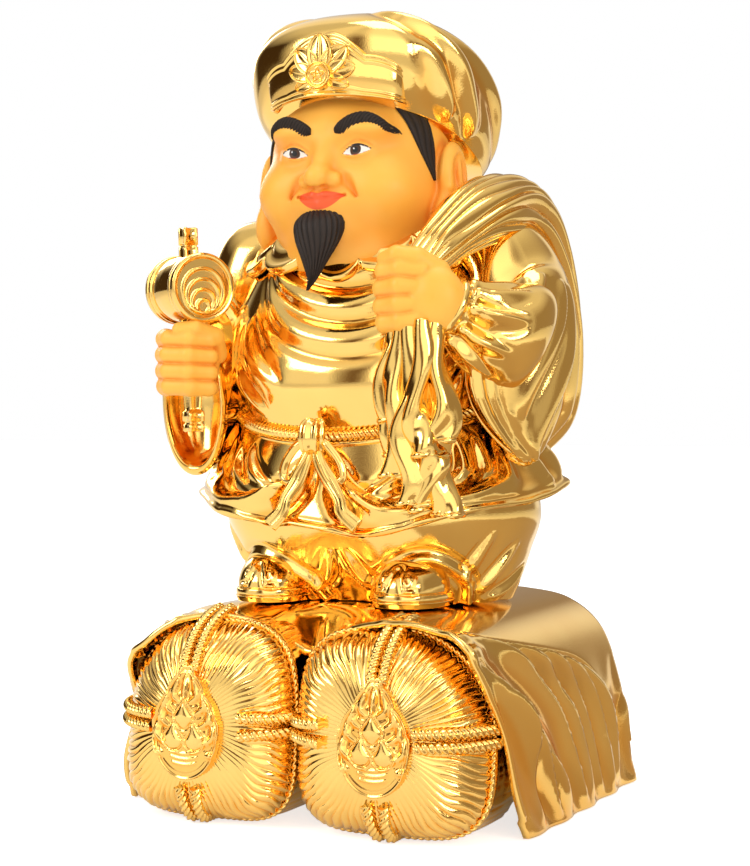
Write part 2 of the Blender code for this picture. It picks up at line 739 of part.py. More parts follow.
def screw_body(low, top, grow):
    """A pan head with its shank, standing up from low."""
    head_top = BALE_Z + BALE_RADIUS - BALE_WALL - 3 * GAP
    rings = [
        ring(Vector((0, 0, z)), Vector((radius + grow, 0, 0)), Vector((0, radius + grow, 0)), 18)
        for z, radius in (
            (low, SCREW_HEAD_RADIUS),
            (head_top + grow, SCREW_HEAD_RADIUS),
            (head_top + grow + 0.05 * MM, SCREW_RADIUS),
            (top, SCREW_RADIUS),
        )
    ]
    return skin(rings)


# ---------------------------------------------------------------- arms, sack and mallet


def build_hand_left(figure):
    room = helper("hand_left_room", ball(HAND_LEFT, HAND_LEFT_HALF, GAP, 16, 7, 2.4), figure)
    join(room, helper("wrist_left_room", between(HAND_LEFT, WRIST_LEFT_END, WRIST_RADIUS, GAP), figure))
    hand = place("hand_left", ball(HAND_LEFT, HAND_LEFT_HALF, 0, 16, 7, 2.4), SKIN, figure)
    join(hand, helper("wrist_left", between(HAND_LEFT, WRIST_LEFT_END, WRIST_RADIUS), figure))
    return room


def square_bar(rows):
    """Square rings along z: each row is a height and a side."""
    return skin([
        ring(Vector((0, 0, z)), Vector((side / 2, 0, 0)), Vector((0, side / 2, 0)), 16, 5)
        for z, side in rows
    ])


def handle_rows():
    shoulder_low = FIST_HALF.z + GAP
    shoulder_high = shoulder_low + HANDLE_SHOULDER_HEIGHT
    return [
        (-HANDLE_BELOW, HANDLE_FOOT_SIDE),
        (-HANDLE_BELOW + HANDLE_FOOT_HEIGHT, HANDLE_FOOT_SIDE),
        (-HANDLE_BELOW + HANDLE_FOOT_HEIGHT + 1.5 * MM, HANDLE_SIDE * 0.85),
        (-FIST_HALF.z, HANDLE_SIDE),
        (shoulder_low - 0.05 * MM, HANDLE_SIDE),
        (shoulder_low, HANDLE_SHOULDER_SIDE),
        (shoulder_high, HANDLE_SHOULDER_SIDE),
        (shoulder_high + 0.05 * MM, HANDLE_SIDE),
        (HANDLE_ABOVE, HANDLE_SIDE),
    ]


def drum_body():
    """The barrel of the mallet, with a raised hoop near each end."""
    facing = Vector((math.sin(DRUM_TURN), -math.cos(DRUM_TURN), 0))
    level = Vector((0, 0, 1)).cross(facing)
    half = DRUM_LENGTH / 2
    rows = ((1.0, 0.80), (0.86, 0.93), (0.62, 1.0), (0, 0.97))
    stations = [(-share, size) for share, size in rows] + [(share, size) for share, size in reversed(rows[:-1])]
    rings = []
    for share, size in stations:
        centre = Vector((0, 0, DRUM_Z)) + facing * half * share
        radius = DRUM_RADIUS * size
        rings.append(ring(centre, level * radius, Vector((0, 0, radius)), DRUM_SIDES))
    return skin(rings)


def build_mallet(figure):
    axis = empty("mallet_axis", FIST, figure)
    axis.rotation_euler = (0, MALLET_TILT, 0)
    place("mallet_handle", square_bar(handle_rows()), GOLD, axis, 40)
    drum = place("mallet_drum", drum_body(), GOLD, axis)
    through = square_bar([(0, HANDLE_SIDE + 2 * GAP), (HANDLE_ABOVE + GAP, HANDLE_SIDE + 2 * GAP)])
    cut(drum, helper("handle_room", through, axis))

    hand = place("hand_right", ball(Vector((0, 0, 0)), FIST_HALF, 0, 16, 7, 2.8), SKIN, axis)
    wrist = helper("wrist_right", between(FIST, WRIST_RIGHT_END, WRIST_RADIUS), figure)
    bore_side = HANDLE_FOOT_SIDE + 2 * FIST_BORE_CLEARANCE
    bore = helper("fist_bore", square_bar([(-HANDLE_BELOW, bore_side), (HANDLE_BELOW, bore_side)]), axis)
    join(hand, wrist)
    cut(hand, bore)
    room = helper("fist_room", ball(Vector((0, 0, 0)), FIST_HALF, GAP, 16, 7, 2.8), axis)
    join(room, helper("wrist_right_room", between(FIST, WRIST_RIGHT_END, WRIST_RADIUS, GAP), figure))
    return room


def robe_room(figure):
    """The robe with its collar and cord as one plain form, which the sleeves and the sack lie against."""
    rows = [SKIRT[0], SKIRT[1]]
    for row in TORSO:
        clear = (BELT_STANDOFF + BELT_RADIUS + 3 * GAP if row is TORSO[0] else COLLAR_THICKNESS + GAP) / MM
        rows.append((row[0], row[1], row[2] + clear, row[3] + clear, row[4]))
    return helper("robe_room", skin(profile_rings(rows, GAP)), figure)


def build_sleeves(figure, robe, head_room, hand_rooms):
    rooms = {}
    for side, rows in (("right", SLEEVE_RIGHT), ("left", SLEEVE_LEFT)):
        sleeve = place("sleeve_" + side, skin(limb_rings(rows)), GOLD, figure)
        cut(sleeve, robe, head_room, hand_rooms[side])
        rooms[side] = helper("sleeve_room_" + side, skin(limb_rings(rows, GAP)), figure)
    return rooms


def build_figure(base):
    figure = empty("figure", (0, 0, FEET_Z))
    head_room, dowel_room, goatee_room = build_head(figure)
    torso_room, skirt_room = build_robe(figure, head_room, dowel_room, goatee_room)
    build_legs(figure, base)
    left_room = build_hand_left(figure)
    right_room = build_mallet(figure)
    hand_rooms = {"left": left_room, "right": right_room}
    robe = robe_room(figure)
    sleeve_rooms = build_sleeves(figure, robe, head_room, hand_rooms)

    belt = place("belt_cord", belt_body(), GOLD, figure)
    cut(belt, torso_room, skirt_room)
    belt_room = helper("belt_room", belt_body(GAP), figure)
    bow = bow_body(figure)
    cut(bow, belt_room, skirt_room, torso_room)

    sack = place("sack", skin(limb_rings(SACK)), GOLD, figure)
    trousers_room = helper("trousers_room", skin(profile_rings(TROUSERS, GAP)), figure)
    cut(sack, trousers_room, robe, head_room, left_room, sleeve_rooms["left"])
    tail = place("sack_tail", skin(profile_rings(SACK_TAIL[::-1], x=SACK_TAIL_X, power=2.4, sides=24)), GOLD, figure)
    sack_room = helper("sack_room", skin(limb_rings(SACK, GAP)), figure)
    cut(tail, left_room, torso_room, skirt_room, sleeve_rooms["left"], belt_room, sack_room)


base_origin = empty("base")
build_base(base_origin)
build_figure(base_origin)
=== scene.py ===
"""A gold-plated merchant figure with a mallet and a sack, on two straw bales under a cloth.

Lengths are in millimetres until a mesh is made. The figure's pieces are measured from its soles.
"""

import math

import bpy
import numpy as np
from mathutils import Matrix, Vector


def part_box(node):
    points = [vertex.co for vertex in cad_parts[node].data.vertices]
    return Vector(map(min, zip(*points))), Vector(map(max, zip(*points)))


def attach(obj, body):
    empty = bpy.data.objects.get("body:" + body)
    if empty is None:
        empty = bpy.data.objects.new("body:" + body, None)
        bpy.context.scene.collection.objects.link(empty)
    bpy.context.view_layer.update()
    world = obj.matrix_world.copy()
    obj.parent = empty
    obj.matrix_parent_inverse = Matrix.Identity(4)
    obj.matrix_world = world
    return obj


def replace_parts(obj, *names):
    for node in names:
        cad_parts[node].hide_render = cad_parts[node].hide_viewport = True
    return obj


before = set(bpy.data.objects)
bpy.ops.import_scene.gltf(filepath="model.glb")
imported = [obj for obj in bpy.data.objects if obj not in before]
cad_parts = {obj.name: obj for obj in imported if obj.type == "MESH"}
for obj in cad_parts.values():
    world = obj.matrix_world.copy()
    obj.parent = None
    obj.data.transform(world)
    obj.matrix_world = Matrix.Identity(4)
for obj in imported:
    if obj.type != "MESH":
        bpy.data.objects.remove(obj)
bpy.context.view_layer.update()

import openvdb
from mathutils import Vector

MM = 0.001


def node_box(node):
    """The lowest and highest corner of a node, in millimetres."""
    low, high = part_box(node)
    return np.array(low) / MM, np.array(high) / MM


SOLE = node_box("shoe_right")[0][2]


# ---------------------------------------------------------------- curves and grids


def smooth_rows(rows, count):
    """Rows of numbers read at even steps along a smooth curve through them."""
    rows = np.array(rows, float)
    first = 2 * rows[:1] - rows[1:2]
    last = 2 * rows[-1:] - rows[-2:-1]
    padded = np.concatenate([first, rows, last])
    at = np.linspace(0, len(rows) - 1, count)
    i = np.minimum(at.astype(int), len(rows) - 2)
    t = (at - i)[:, None]
    a, b, c, d = padded[i], padded[i + 1], padded[i + 2], padded[i + 3]
    return 0.5 * (2 * b + (c - a) * t + (2 * a - 5 * b + 4 * c - d) * t**2 + (3 * b - a - 3 * c + d) * t**3)


def step_up(value, low, high):
    """Rises smoothly from 0 at low to 1 at high."""
    t = np.clip((value - low) / (high - low), 0, 1)
    return t * t * (3 - 2 * t)


def bump(value, middle, width):
    return np.exp(-(((value - middle) / width) ** 2))


def tube_grid(rows, around, along, power=2.0):
    """A grid of points round a limb; a row is its middle and its two half axes, nine numbers."""
    rows = smooth_rows([[n for part in row for n in part] for row in rows], along)
    turn = np.arange(around) / around * math.tau
    first = np.sign(np.cos(turn)) * np.abs(np.cos(turn)) ** (2 / power)
    second = np.sign(np.sin(turn)) * np.abs(np.sin(turn)) ** (2 / power)
    middle, across, upward = rows[:, None, 0:3], rows[:, None, 3:6], rows[:, None, 6:9]
    return middle + across * first[None, :, None] + upward * second[None, :, None]


def stack_grid(rows, around, along, power=2.0):
    """A grid round an upright form; a row is height, middle y, half width, half depth, rise to the back."""
    parts = [((0, y, z), (w, 0, 0), (0, d, d * rise)) for z, y, w, d, rise in rows]
    return tube_grid(parts, around, along, power)


def grid_normals(grid, wrap=True):
    if wrap:
        round_step = np.roll(grid, -1, 1) - np.roll(grid, 1, 1)
    else:
        round_step = np.gradient(grid, axis=1)
    normal = np.cross(round_step, np.gradient(grid, axis=0))
    length = np.linalg.norm(normal, axis=2, keepdims=True)
    normal = normal / np.maximum(length, 1e-9)
    outward = grid - grid.mean(axis=1, keepdims=True) if wrap else None
    if outward is not None and (normal * outward).sum() < 0:
        normal = -normal
    return normal


def grid_points(grid, path, wrap=True):
    """The points of a grid at (share round, share along), read between its points."""
    along, around = grid.shape[:2]
    path = np.array(path, float)
    u = path[:, 0] * (around if wrap else around - 1)
    v = np.clip(path[:, 1], 0, 1) * (along - 1)
    i, j = np.floor(u).astype(int), np.minimum(np.floor(v).astype(int), along - 2)
    s, t = (u - i)[:, None], (v - j)[:, None]
    i0, i1 = i % around, (i + 1) % around
    if not wrap:
        i0, i1 = np.clip(i, 0, around - 1), np.clip(i + 1, 0, around - 1)
    low = grid[j, i0] * (1 - s) + grid[j, i1] * s
    high = grid[j + 1, i0] * (1 - s) + grid[j + 1, i1] * s
    return low * (1 - t) + high * t


def stroke(points, normals, line, width, height, lean=0.0, valley=0.3, blunt=False):
    """How far each point rises for a ridge along a line; lean makes one flank steeper than the other."""
    lift = np.zeros(len(points))
    reach = width * (1 + abs(lean)) * 3.2
    near = np.all((points > line.min(0) - reach) & (points < line.max(0) + reach), axis=1)
    if not near.any():
        return lift
    p, n = points[near], normals[near]
    starts, steps = line[:-1], np.diff(line, axis=0)
    lengths = np.maximum((steps**2).sum(1), 1e-9)
    offset = p[:, None, :] - starts[None]
    share = np.clip((offset * steps[None]).sum(2) / lengths[None], 0, 1)
    gap = offset - share[..., None] * steps[None]
    distance = np.sqrt((gap**2).sum(2))
    best = distance.argmin(1)
    row = np.arange(len(p))
    d = distance[row, best]
    along = (best + share[row, best]) / len(steps)
    side = np.sign((np.cross(steps[best], n) * gap[row, best]).sum(1))
    w = width * (1 + lean * side)
    taper = np.ones(len(p)) if blunt else np.clip(np.sin(np.pi * np.clip(along, 0, 1)), 0, 1) ** 0.6
    w = w * (0.45 + 0.55 * taper)
    crest = np.exp(-((d / w) ** 2)) - valley * np.exp(-(((d - 2.0 * w) / (0.9 * w)) ** 2))
    lift[near] = height * taper * crest
    return lift


def fold_grid(grid, folds, wrap=True, normals=None):
    """Raises ridges on a grid. A fold is (path in shares, width, height), then lean and valley if given."""
    normals = grid_normals(grid, wrap) if normals is None else normals
    points, flat = grid.reshape(-1, 3), normals.reshape(-1, 3)
    lift = np.zeros(len(points))
    for fold in folds:
        path, width, height, *more = fold
        line = grid_points(grid, smooth_rows(path, 30), wrap)
        lift += stroke(points, flat, line, width, height, *more)
    return (points + flat * lift[:, None]).reshape(grid.shape), lift.reshape(grid.shape[:2])


# ---------------------------------------------------------------- meshes


def mesh_object(name, points, faces, smooth=True):
    mesh = bpy.data.meshes.new(name)
    mesh.from_pydata((np.asarray(points) * MM).tolist(), [], faces)
    mesh.validate()
    if smooth:
        mesh.shade_smooth()
    thing = bpy.data.objects.new(name, mesh)
    bpy.context.scene.collection.objects.link(thing)
    return thing


def outward_faces(thing):
    """Turns a closed mesh's faces out, if they face in."""
    mesh = thing.data
    mesh.calc_loop_triangles()
    co = np.empty(len(mesh.vertices) * 3)
    mesh.vertices.foreach_get("co", co)
    co = co.reshape(-1, 3)
    tri = np.empty(len(mesh.loop_triangles) * 3, int)
    mesh.loop_triangles.foreach_get("vertices", tri)
    tri = tri.reshape(-1, 3)
    a, b, c = co[tri[:, 0]], co[tri[:, 1]], co[tri[:, 2]]
    if (a * np.cross(b, c)).sum() < 0:
        mesh.flip_normals()
    return thing


def grid_faces(along, around, wrap=True, start=0):
    last = around if wrap else around - 1
    j, i = np.meshgrid(np.arange(along - 1), np.arange(last), indexing="ij")
    k = (i + 1) % around
    quads = np.stack([j * around + i, j * around + k, (j + 1) * around + k, (j + 1) * around + i], -1)
    return (quads.reshape(-1, 4) + start).tolist()


def closed_tube(name, grid):
    """A tube's mesh with a pole at each end."""
    along, around = grid.shape[:2]
    points = np.concatenate([grid.reshape(-1, 3), grid[0].mean(0)[None], grid[-1].mean(0)[None]])
    faces = grid_faces(along, around)
    first, last = along * around, along * around + 1
    top = (along - 1) * around
    for i in range(around):
        k = (i + 1) % around
        faces.append([first, k, i])
        faces.append([last, top + i, top + k])
    return outward_faces(mesh_object(name, points, faces))


def sheet_solid(name, outer, inner):
    """A walled sheet from its outer and inner grid, joined round all four edges."""
    along, around = outer.shape[:2]
    points = np.concatenate([outer.reshape(-1, 3), inner.reshape(-1, 3)])
    shift = along * around
    faces = grid_faces(along, around, False)
    faces += [face[::-1] for face in grid_faces(along, around, False, shift)]
    edge = [j * around for j in range(along)] + [(along - 1) * around + i for i in range(1, around)]
    edge += [j * around + around - 1 for j in range(along - 2, -1, -1)] + list(range(around - 2, 0, -1))
    for a, b in zip(edge, edge[1:] + edge[:1]):
        faces.append([a, b, b + shift, a + shift])
    return outward_faces(mesh_object(name, points, faces))


def carve(field, low, high, step):
    """The points and faces of the surface where field(points) is zero, negative inside."""
    low, high = np.array(low, float), np.array(high, float)
    counts = np.ceil((high - low) / step).astype(int) + 1
    axes = [low[k] + np.arange(counts[k]) * step for k in range(3)]
    cells = np.stack(np.meshgrid(*axes, indexing="ij"), -1).reshape(-1, 3)
    values = field(cells).reshape(counts).astype(np.float32)
    volume = openvdb.FloatGrid(background=float(step * 8))
    volume.copyFromArray(values)
    points, triangles, quads = volume.convertToPolygons(isovalue=0.0, adaptivity=0.0)
    points = low + np.array(points, float) * step
    for _ in range(3):
        value = field(points)
        slope = np.stack([(field(points + d) - value) / 0.05 for d in 0.05 * np.eye(3)], 1)
        length = np.maximum((slope**2).sum(1, keepdims=True), 0.2)
        points = points - 0.8 * slope * value[:, None] / length
    value = field(points)
    slope = np.stack([(field(points + d) - value) / 0.05 for d in 0.05 * np.eye(3)], 1)
    normals = slope / np.maximum(np.linalg.norm(slope, axis=1, keepdims=True), 1e-9)
    faces = [list(map(int, f)) for f in quads] + [list(map(int, f)) for f in triangles]
    return points, normals, faces


def paint(thing, name, values):
    """Keeps a number on each point, for a material to read."""
    layer = thing.data.attributes.new(name, "FLOAT", "POINT")
    values = np.asarray(values, np.float32).ravel()
    full = np.zeros(len(thing.data.vertices), np.float32)
    full[: len(values)] = values
    layer.data.foreach_set("value", full)


def settle(thing, material, slot, body="statue", *nodes):
    """Gives a finished piece its material, its body and the nodes that it stands for."""
    thing.data.materials.clear()
    thing.data.materials.append(material)
    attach(thing, body)
    if nodes:
        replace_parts(thing, *nodes)
    return thing


# ---------------------------------------------------------------- finishes


def new_group(name, inputs, outputs):
    tree = bpy.data.node_groups.new(name, "ShaderNodeTree")
    for label, kind, value in inputs:
        socket = tree.interface.new_socket(label, in_out="INPUT", socket_type=kind)
        if value is not None:
            socket.default_value = value
    for label, kind in outputs:
        tree.interface.new_socket(label, in_out="OUTPUT", socket_type=kind)
    return tree, tree.nodes.new("NodeGroupInput"), tree.nodes.new("NodeGroupOutput")


def wired(tree, kind, links=(), **values):
    """Adds a node, sets its values by name and links its inputs."""
    node = tree.nodes.new(kind)
    for name, value in values.items():
        setattr(node, name, value)
    for key, source in dict(links).items():
        if isinstance(source, bpy.types.NodeSocket):
            tree.links.new(source, node.inputs[key])
        else:
            node.inputs[key].default_value = source
    return node


def handling_group():
    """Faint waviness, handling smudges and hairline scuffs that all the finishes share."""
    inputs = [("Smudge Size", "NodeSocketFloat", 30.0), ("Grain Size", "NodeSocketFloat", 900.0),
              ("Smooth", "NodeSocketFloat", 0.08), ("Worn", "NodeSocketFloat", 0.2)]
    outputs = [("Roughness", "NodeSocketFloat"), ("Height", "NodeSocketFloat"), ("Cloud", "NodeSocketFloat")]
    tree, given, result = new_group("handling", inputs, outputs)
    place = wired(tree, "ShaderNodeTexCoord")
    cloud = wired(tree, "ShaderNodeTexNoise",
                  {"Vector": place.outputs["Object"], "Scale": given.outputs["Smudge Size"], "Detail": 4.0})
    grain = wired(tree, "ShaderNodeTexNoise",
                  {"Vector": place.outputs["Object"], "Scale": given.outputs["Grain Size"], "Detail": 2.0})
    rough = wired(tree, "ShaderNodeMapRange", {"Value": cloud.outputs["Fac"], "From Min": 0.35,
                                               "From Max": 0.75, "To Min": given.outputs["Smooth"],
                                               "To Max": given.outputs["Worn"]})
    height = wired(tree, "ShaderNodeMath", {0: cloud.outputs["Fac"], 1: grain.outputs["Fac"]},
                   operation="ADD")
    tree.links.new(rough.outputs["Result"], result.inputs["Roughness"])
    tree.links.new(height.outputs["Value"], result.inputs["Height"])
    tree.links.new(cloud.outputs["Fac"], result.inputs["Cloud"])
    return tree


HANDLING = handling_group()


def base_material(name, metallic, coat=0.0):
    material = bpy.data.materials.new(name)
    material.use_nodes = True
    tree = material.node_tree
    shader = tree.nodes["Principled BSDF"]
    shader.inputs["Metallic"].default_value = metallic
    shader.inputs["Coat Weight"].default_value = coat
    return material, tree, shader


def handled(tree, **values):
    group = tree.nodes.new("ShaderNodeGroup")
    group.node_tree = HANDLING
    for key, value in values.items():
        group.inputs[key.replace("_", " ")].default_value = value
    return group


def raised(tree, height, shader, strength, distance):
    relief = wired(tree, "ShaderNodeBump", {"Height": height, "Strength": strength, "Distance": distance})
    tree.links.new(relief.outputs["Normal"], shader.inputs["Normal"])
    return relief


def gold_material(name="gold_plating", smooth=0.06, worn=0.13, bright=(1.0, 0.67, 0.20),
                  deep=(0.98, 0.49, 0.085)):
    """Mirror plating with painted shade, redder where it lies in a hollow."""
    material, tree, shader = base_material(name, 1.0)
    handling = handled(tree, Smudge_Size=38.0, Grain_Size=1400.0, Smooth=smooth, Worn=worn)
    # Painted shade: the hollows are tinted towards the deep colour; the random cloud patches are the
    # plating's own uneven tone.
    hollow_shade = wired(tree, "ShaderNodeAttribute", attribute_name="hollow_shade")
    cloud = wired(tree, "ShaderNodeMapRange", {"Value": handling.outputs["Cloud"], "From Min": 0.3,
                                               "From Max": 0.7, "To Min": 0.0, "To Max": 0.16})
    both = wired(tree, "ShaderNodeMath", {0: hollow_shade.outputs["Fac"], 1: cloud.outputs["Result"]},
                 operation="ADD", use_clamp=True)
    tint = wired(tree, "ShaderNodeMix", {"Factor": both.outputs["Value"]}, data_type="RGBA")
    tint.inputs["A"].default_value = (*bright, 1)
    tint.inputs["B"].default_value = (*deep, 1)
    tree.links.new(tint.outputs["Result"], shader.inputs["Base Color"])
    tree.links.new(handling.outputs["Roughness"], shader.inputs["Roughness"])
    raised(tree, handling.outputs["Height"], shader, 0.05, 0.0006)
    return material


GOLD = gold_material()


# ---------------------------------------------------------------- base


def bale_frame(side):
    """The front pole and radius of a bale."""
    low, high = node_box("straw_bale_" + side)
    pole = np.array([(low[0] + high[0]) / 2, low[1], (low[2] + high[2]) / 2])
    return pole, (high[0] - low[0]) / 2


DOME = 50.0


def dome_points(radius, turn, away, standoff=0.0, inner=None):
    """Points over a dome from its pole; the lower half sags and spreads below and at its fellow."""
    power = 2.45 + 1.9 * np.clip(-np.sin(turn), 0, 1) ** 1.5
    if inner is not None:
        slack = np.maximum(1.5 * step_up(-np.sin(turn), -0.1, 0.5),
                           0.9 * step_up(np.cos(turn - inner), -0.1, 0.6))
        power = power + 1.6 * step_up(np.cos(turn - inner), 0.2, 0.95)
        square = 2 + 1.5 * slack
        radius = radius / (np.abs(np.cos(turn)) ** square + np.abs(np.sin(turn)) ** square) ** (1 / square)
    def on_dome(angle):
        angle = np.clip(angle, 1e-4, math.pi / 2)
        return radius * np.sin(angle) ** (2 / power), DOME * (1 - np.cos(angle) ** (2 / power))
    r, y = on_dome(away)
    r_on, y_on = on_dome(away + 0.004)
    r_back, y_back = on_dome(away - 0.004)
    run_r, run_y = r_on - r_back, y_on - y_back
    run = np.maximum(np.hypot(run_r, run_y), 1e-9)
    out_r, out_y = run_y / run, -run_r / run
    r = r + out_r * standoff
    y = y + out_y * standoff
    return np.stack([r * np.cos(turn), y, r * np.sin(turn)], -1)


STRAWS = 80


def inner_turn(side):
    """The bearing on a bale's end at which it meets the other bale."""
    return 0.0 if side == "right" else math.pi


def straw_bale(side, seed):
    """The domed end of a bale: straws laid side by side, fanned from the plaque to the seam."""
    pole, radius = bale_frame(side)
    inner = inner_turn(side)
    rng = np.random.default_rng(seed)
    around, on_dome, on_barrel = STRAWS * 9, 76, 8
    turn = np.arange(around) / around * math.tau
    away = np.concatenate([np.linspace(0.03, math.pi / 2, on_dome), np.full(on_barrel, math.pi / 2)])
    wander = (0.016 * np.sin(5 * turn[None] + 9 * away[:, None])
              + 0.010 * np.sin(11 * turn[None] - 7 * away[:, None]))
    phase = (turn[None] + wander) * STRAWS / math.tau
    straw = np.floor(phase).astype(int) % STRAWS
    thick = rng.uniform(0.6, 1.25, STRAWS)[straw]
    bend = np.abs(np.sin(np.pi * phase)) ** 0.75
    reach = step_up(away, 0.28, 0.75)[:, None]
    split = 0.12 * np.sin(np.pi * 2 * phase + 14 * away[:, None] + rng.uniform(0, 6, STRAWS)[straw])
    seam = bump(away, 1.20, 0.035)[:, None] * -1.5 + bump(away, 1.28, 0.04)[:, None] * 0.5
    relief = (bend + split) * thick * (0.15 + 1.15 * reach) * (1 - 0.75 * step_up(away, 1.18, 1.3)[:, None])
    everywhere = 0 * away[:, None] * turn[None]
    points = dome_points(radius - 0.4, turn[None] + everywhere, away[:, None] + everywhere, relief + seam,
                         inner)
    back = np.concatenate([np.zeros(on_dome), np.linspace(4, 128, on_barrel)])
    points[..., 1] += back[:, None]
    pulled = step_up(back, 2, 34)[:, None]
    edge = radius * math.cos(inner)
    points[..., 0] = edge + (points[..., 0] - edge) * (1 - 0.07 * pulled)
    points[..., 2] *= 1 - 0.03 * pulled
    points = points + pole
    points[..., 2] = np.maximum(points[..., 2], 0.8)
    thing = closed_tube("straw_bale_skin_" + side, points)
    # Painted shade: redder in the gaps between the straws, fading out towards the plaque.
    paint(thing, "hollow_shade",
          np.clip(0.75 - bend * 1.1, 0, 1) * np.ones_like(relief) * step_up(away, 0.2, 0.5)[:, None])
    return settle(thing, GOLD, "gold_plating", "statue", "straw_bale_" + side)


def rope_tree():
    """Sweeps a laid rope along a curve; its radius, turns, strands, groove and finish are inputs."""
    tree = bpy.data.node_groups.new("laid_rope", "GeometryNodeTree")
    sockets = tree.interface
    sockets.new_socket("Path", in_out="INPUT", socket_type="NodeSocketGeometry")
    for label, value in (("Rope Radius", 0.0028), ("Turns Per Metre", 110.0), ("Step", 0.0006),
                         ("Strands", 3.0), ("Groove", 0.30)):
        sockets.new_socket(label, in_out="INPUT", socket_type="NodeSocketFloat").default_value = value
    sockets.new_socket("Finish", in_out="INPUT", socket_type="NodeSocketMaterial")
    sockets.new_socket("Rope", in_out="OUTPUT", socket_type="NodeSocketGeometry")
    given, result = tree.nodes.new("NodeGroupInput"), tree.nodes.new("NodeGroupOutput")
    path = wired(tree, "GeometryNodeResampleCurve",
                 {"Curve": given.outputs["Path"], "Length": given.outputs["Step"]}, mode="LENGTH")
    length = wired(tree, "GeometryNodeSplineParameter")
    turns = wired(tree, "ShaderNodeMath", {0: length.outputs["Length"], 1: given.outputs["Turns Per Metre"]},
                  operation="MULTIPLY")
    angle = wired(tree, "ShaderNodeMath", {0: turns.outputs[0], 1: math.tau}, operation="MULTIPLY")
    tilted = wired(tree, "GeometryNodeSetCurveTilt", {"Curve": path.outputs[0], "Tilt": angle.outputs[0]})
    circle = wired(tree, "GeometryNodeCurvePrimitiveCircle",
                   {"Resolution": 18, "Radius": given.outputs["Rope Radius"]})
    place = wired(tree, "GeometryNodeInputPosition")
    parts = wired(tree, "ShaderNodeSeparateXYZ", {0: place.outputs[0]})
    bearing = wired(tree, "ShaderNodeMath", {0: parts.outputs["Y"], 1: parts.outputs["X"]},
                    operation="ARCTAN2")
    lobes = wired(tree, "ShaderNodeMath", {0: bearing.outputs[0], 1: given.outputs["Strands"]},
                  operation="MULTIPLY")
    wave = wired(tree, "ShaderNodeMath", {0: lobes.outputs[0]}, operation="COSINE")
    bulge = wired(tree, "ShaderNodeMath", {0: wave.outputs[0], 1: given.outputs["Groove"], 2: 0.85},
                  operation="MULTIPLY_ADD")
    shape = wired(tree, "ShaderNodeVectorMath", {0: place.outputs[0], "Scale": bulge.outputs[0]},
                  operation="SCALE")
    profile = wired(tree, "GeometryNodeSetPosition",
                    {"Geometry": circle.outputs[0], "Position": shape.outputs[0]})
    swept = wired(tree, "GeometryNodeCurveToMesh",
                  {"Curve": tilted.outputs[0], "Profile Curve": profile.outputs[0], "Fill Caps": True})
    solid = wired(tree, "GeometryNodeRealizeInstances", {0: swept.outputs[0]})
    painted = wired(tree, "GeometryNodeSetMaterial",
                    {"Geometry": solid.outputs[0], "Material": given.outputs["Finish"]})
    tree.links.new(painted.outputs[0], result.inputs[0])
    return tree


ROPE_TREE = rope_tree()


def grown(thing, tree, name, **values):
    """The plain mesh that a node tree makes of an object, which is then removed."""
    modifier = thing.modifiers.new("grown", "NODES")
    modifier.node_group = tree
    sockets = {item.name: item.identifier for item in tree.interface.items_tree if item.in_out == "INPUT"}
    for key, value in values.items():
        modifier[sockets[key.replace("_", " ")]] = value
    bpy.context.view_layer.update()
    evaluated = thing.evaluated_get(bpy.context.evaluated_depsgraph_get())
    mesh = bpy.data.meshes.new_from_object(evaluated)
    bpy.data.objects.remove(thing)
    mesh.shade_smooth()
    mesh.name = name
    made = bpy.data.objects.new(name, mesh)
    bpy.context.scene.collection.objects.link(made)
    return made


def path_curve(name, lines, closed=False):
    """A curve object with one poly spline for each line of points."""
    curve = bpy.data.curves.new(name, "CURVE")
    curve.dimensions = "3D"
    for line in lines:
        spline = curve.splines.new("POLY")
        spline.points.add(len(line) - 1)
        spline.points.foreach_set("co", np.column_stack([np.asarray(line) * MM, np.ones(len(line))]).ravel())
        spline.use_cyclic_u = closed
    thing = bpy.data.objects.new(name, curve)
    bpy.context.scene.collection.objects.link(thing)
    return thing


def rope_pair(side, run, turn, start, end):
    """Two ropes side by side over the dome."""
    pole, radius = bale_frame(side)
    lines = []
    away = np.linspace(start, end, 40)
    for offset in (-3.0, 3.0):
        across = offset / (radius * np.sin(away) ** 0.8)
        line = dome_points(radius, turn + across, away, 2.5, inner_turn(side)) + pole
        line[:, 2] = np.maximum(line[:, 2], 3.2)
        lines.append(line)
    thing = grown(path_curve("rope", lines), ROPE_TREE, f"rope_{run}_strands_{side}", Rope_Radius=0.0029,
                  Turns_Per_Metre=105.0, Strands=3.0, Groove=0.17, Finish=GOLD)
    return settle(thing, GOLD, "gold_plating", "statue", f"rope_{run}_{side}")


def bale_ropes(side):
    inner = inner_turn(side)
    rope_pair(side, "top", math.pi / 2, 0.42, 1.40)
    rope_pair(side, "bottom", -math.pi / 2, 0.36, 1.36)
    rope_pair(side, "outer", math.pi - inner, 0.30, 1.50)
    rope_pair(side, "inner", inner, 0.30, 1.42)


def seam_ring(side):
    """The bound edge where the straws are stitched round the end of the bale."""
    pole, radius = bale_frame(side)
    turn = np.linspace(0, math.tau, 240, endpoint=False)
    line = dome_points(radius, turn, np.full(240, 1.215), 0.1, inner_turn(side)) + pole
    line[:, 2] = np.maximum(line[:, 2], 2.0)
    thing = grown(path_curve("seam", [line], True), ROPE_TREE, "straw_seam_" + side, Rope_Radius=0.0012,
                  Turns_Per_Metre=150.0, Strands=2.0, Groove=0.25, Finish=GOLD)
    return settle(thing, GOLD, "gold_plating", "statue")


def flame_outline(turn):
    """Reach of the plaque's edge from its middle, with flame tongues round the upper part."""
    up = np.sin(turn)
    across = 17.5 * np.cos(turn) * (1 - 0.50 * np.clip(up, 0, 1) ** 1.1)
    height = 24.5 * up + 1.5 * np.clip(up, 0, 1) ** 6
    tongue = np.abs(np.sin(6.5 * (turn - math.pi / 2))) ** 0.6
    lick = 1 + 0.055 * tongue * step_up(up, -0.5, 0.2) - 0.02
    return across * lick, height * lick


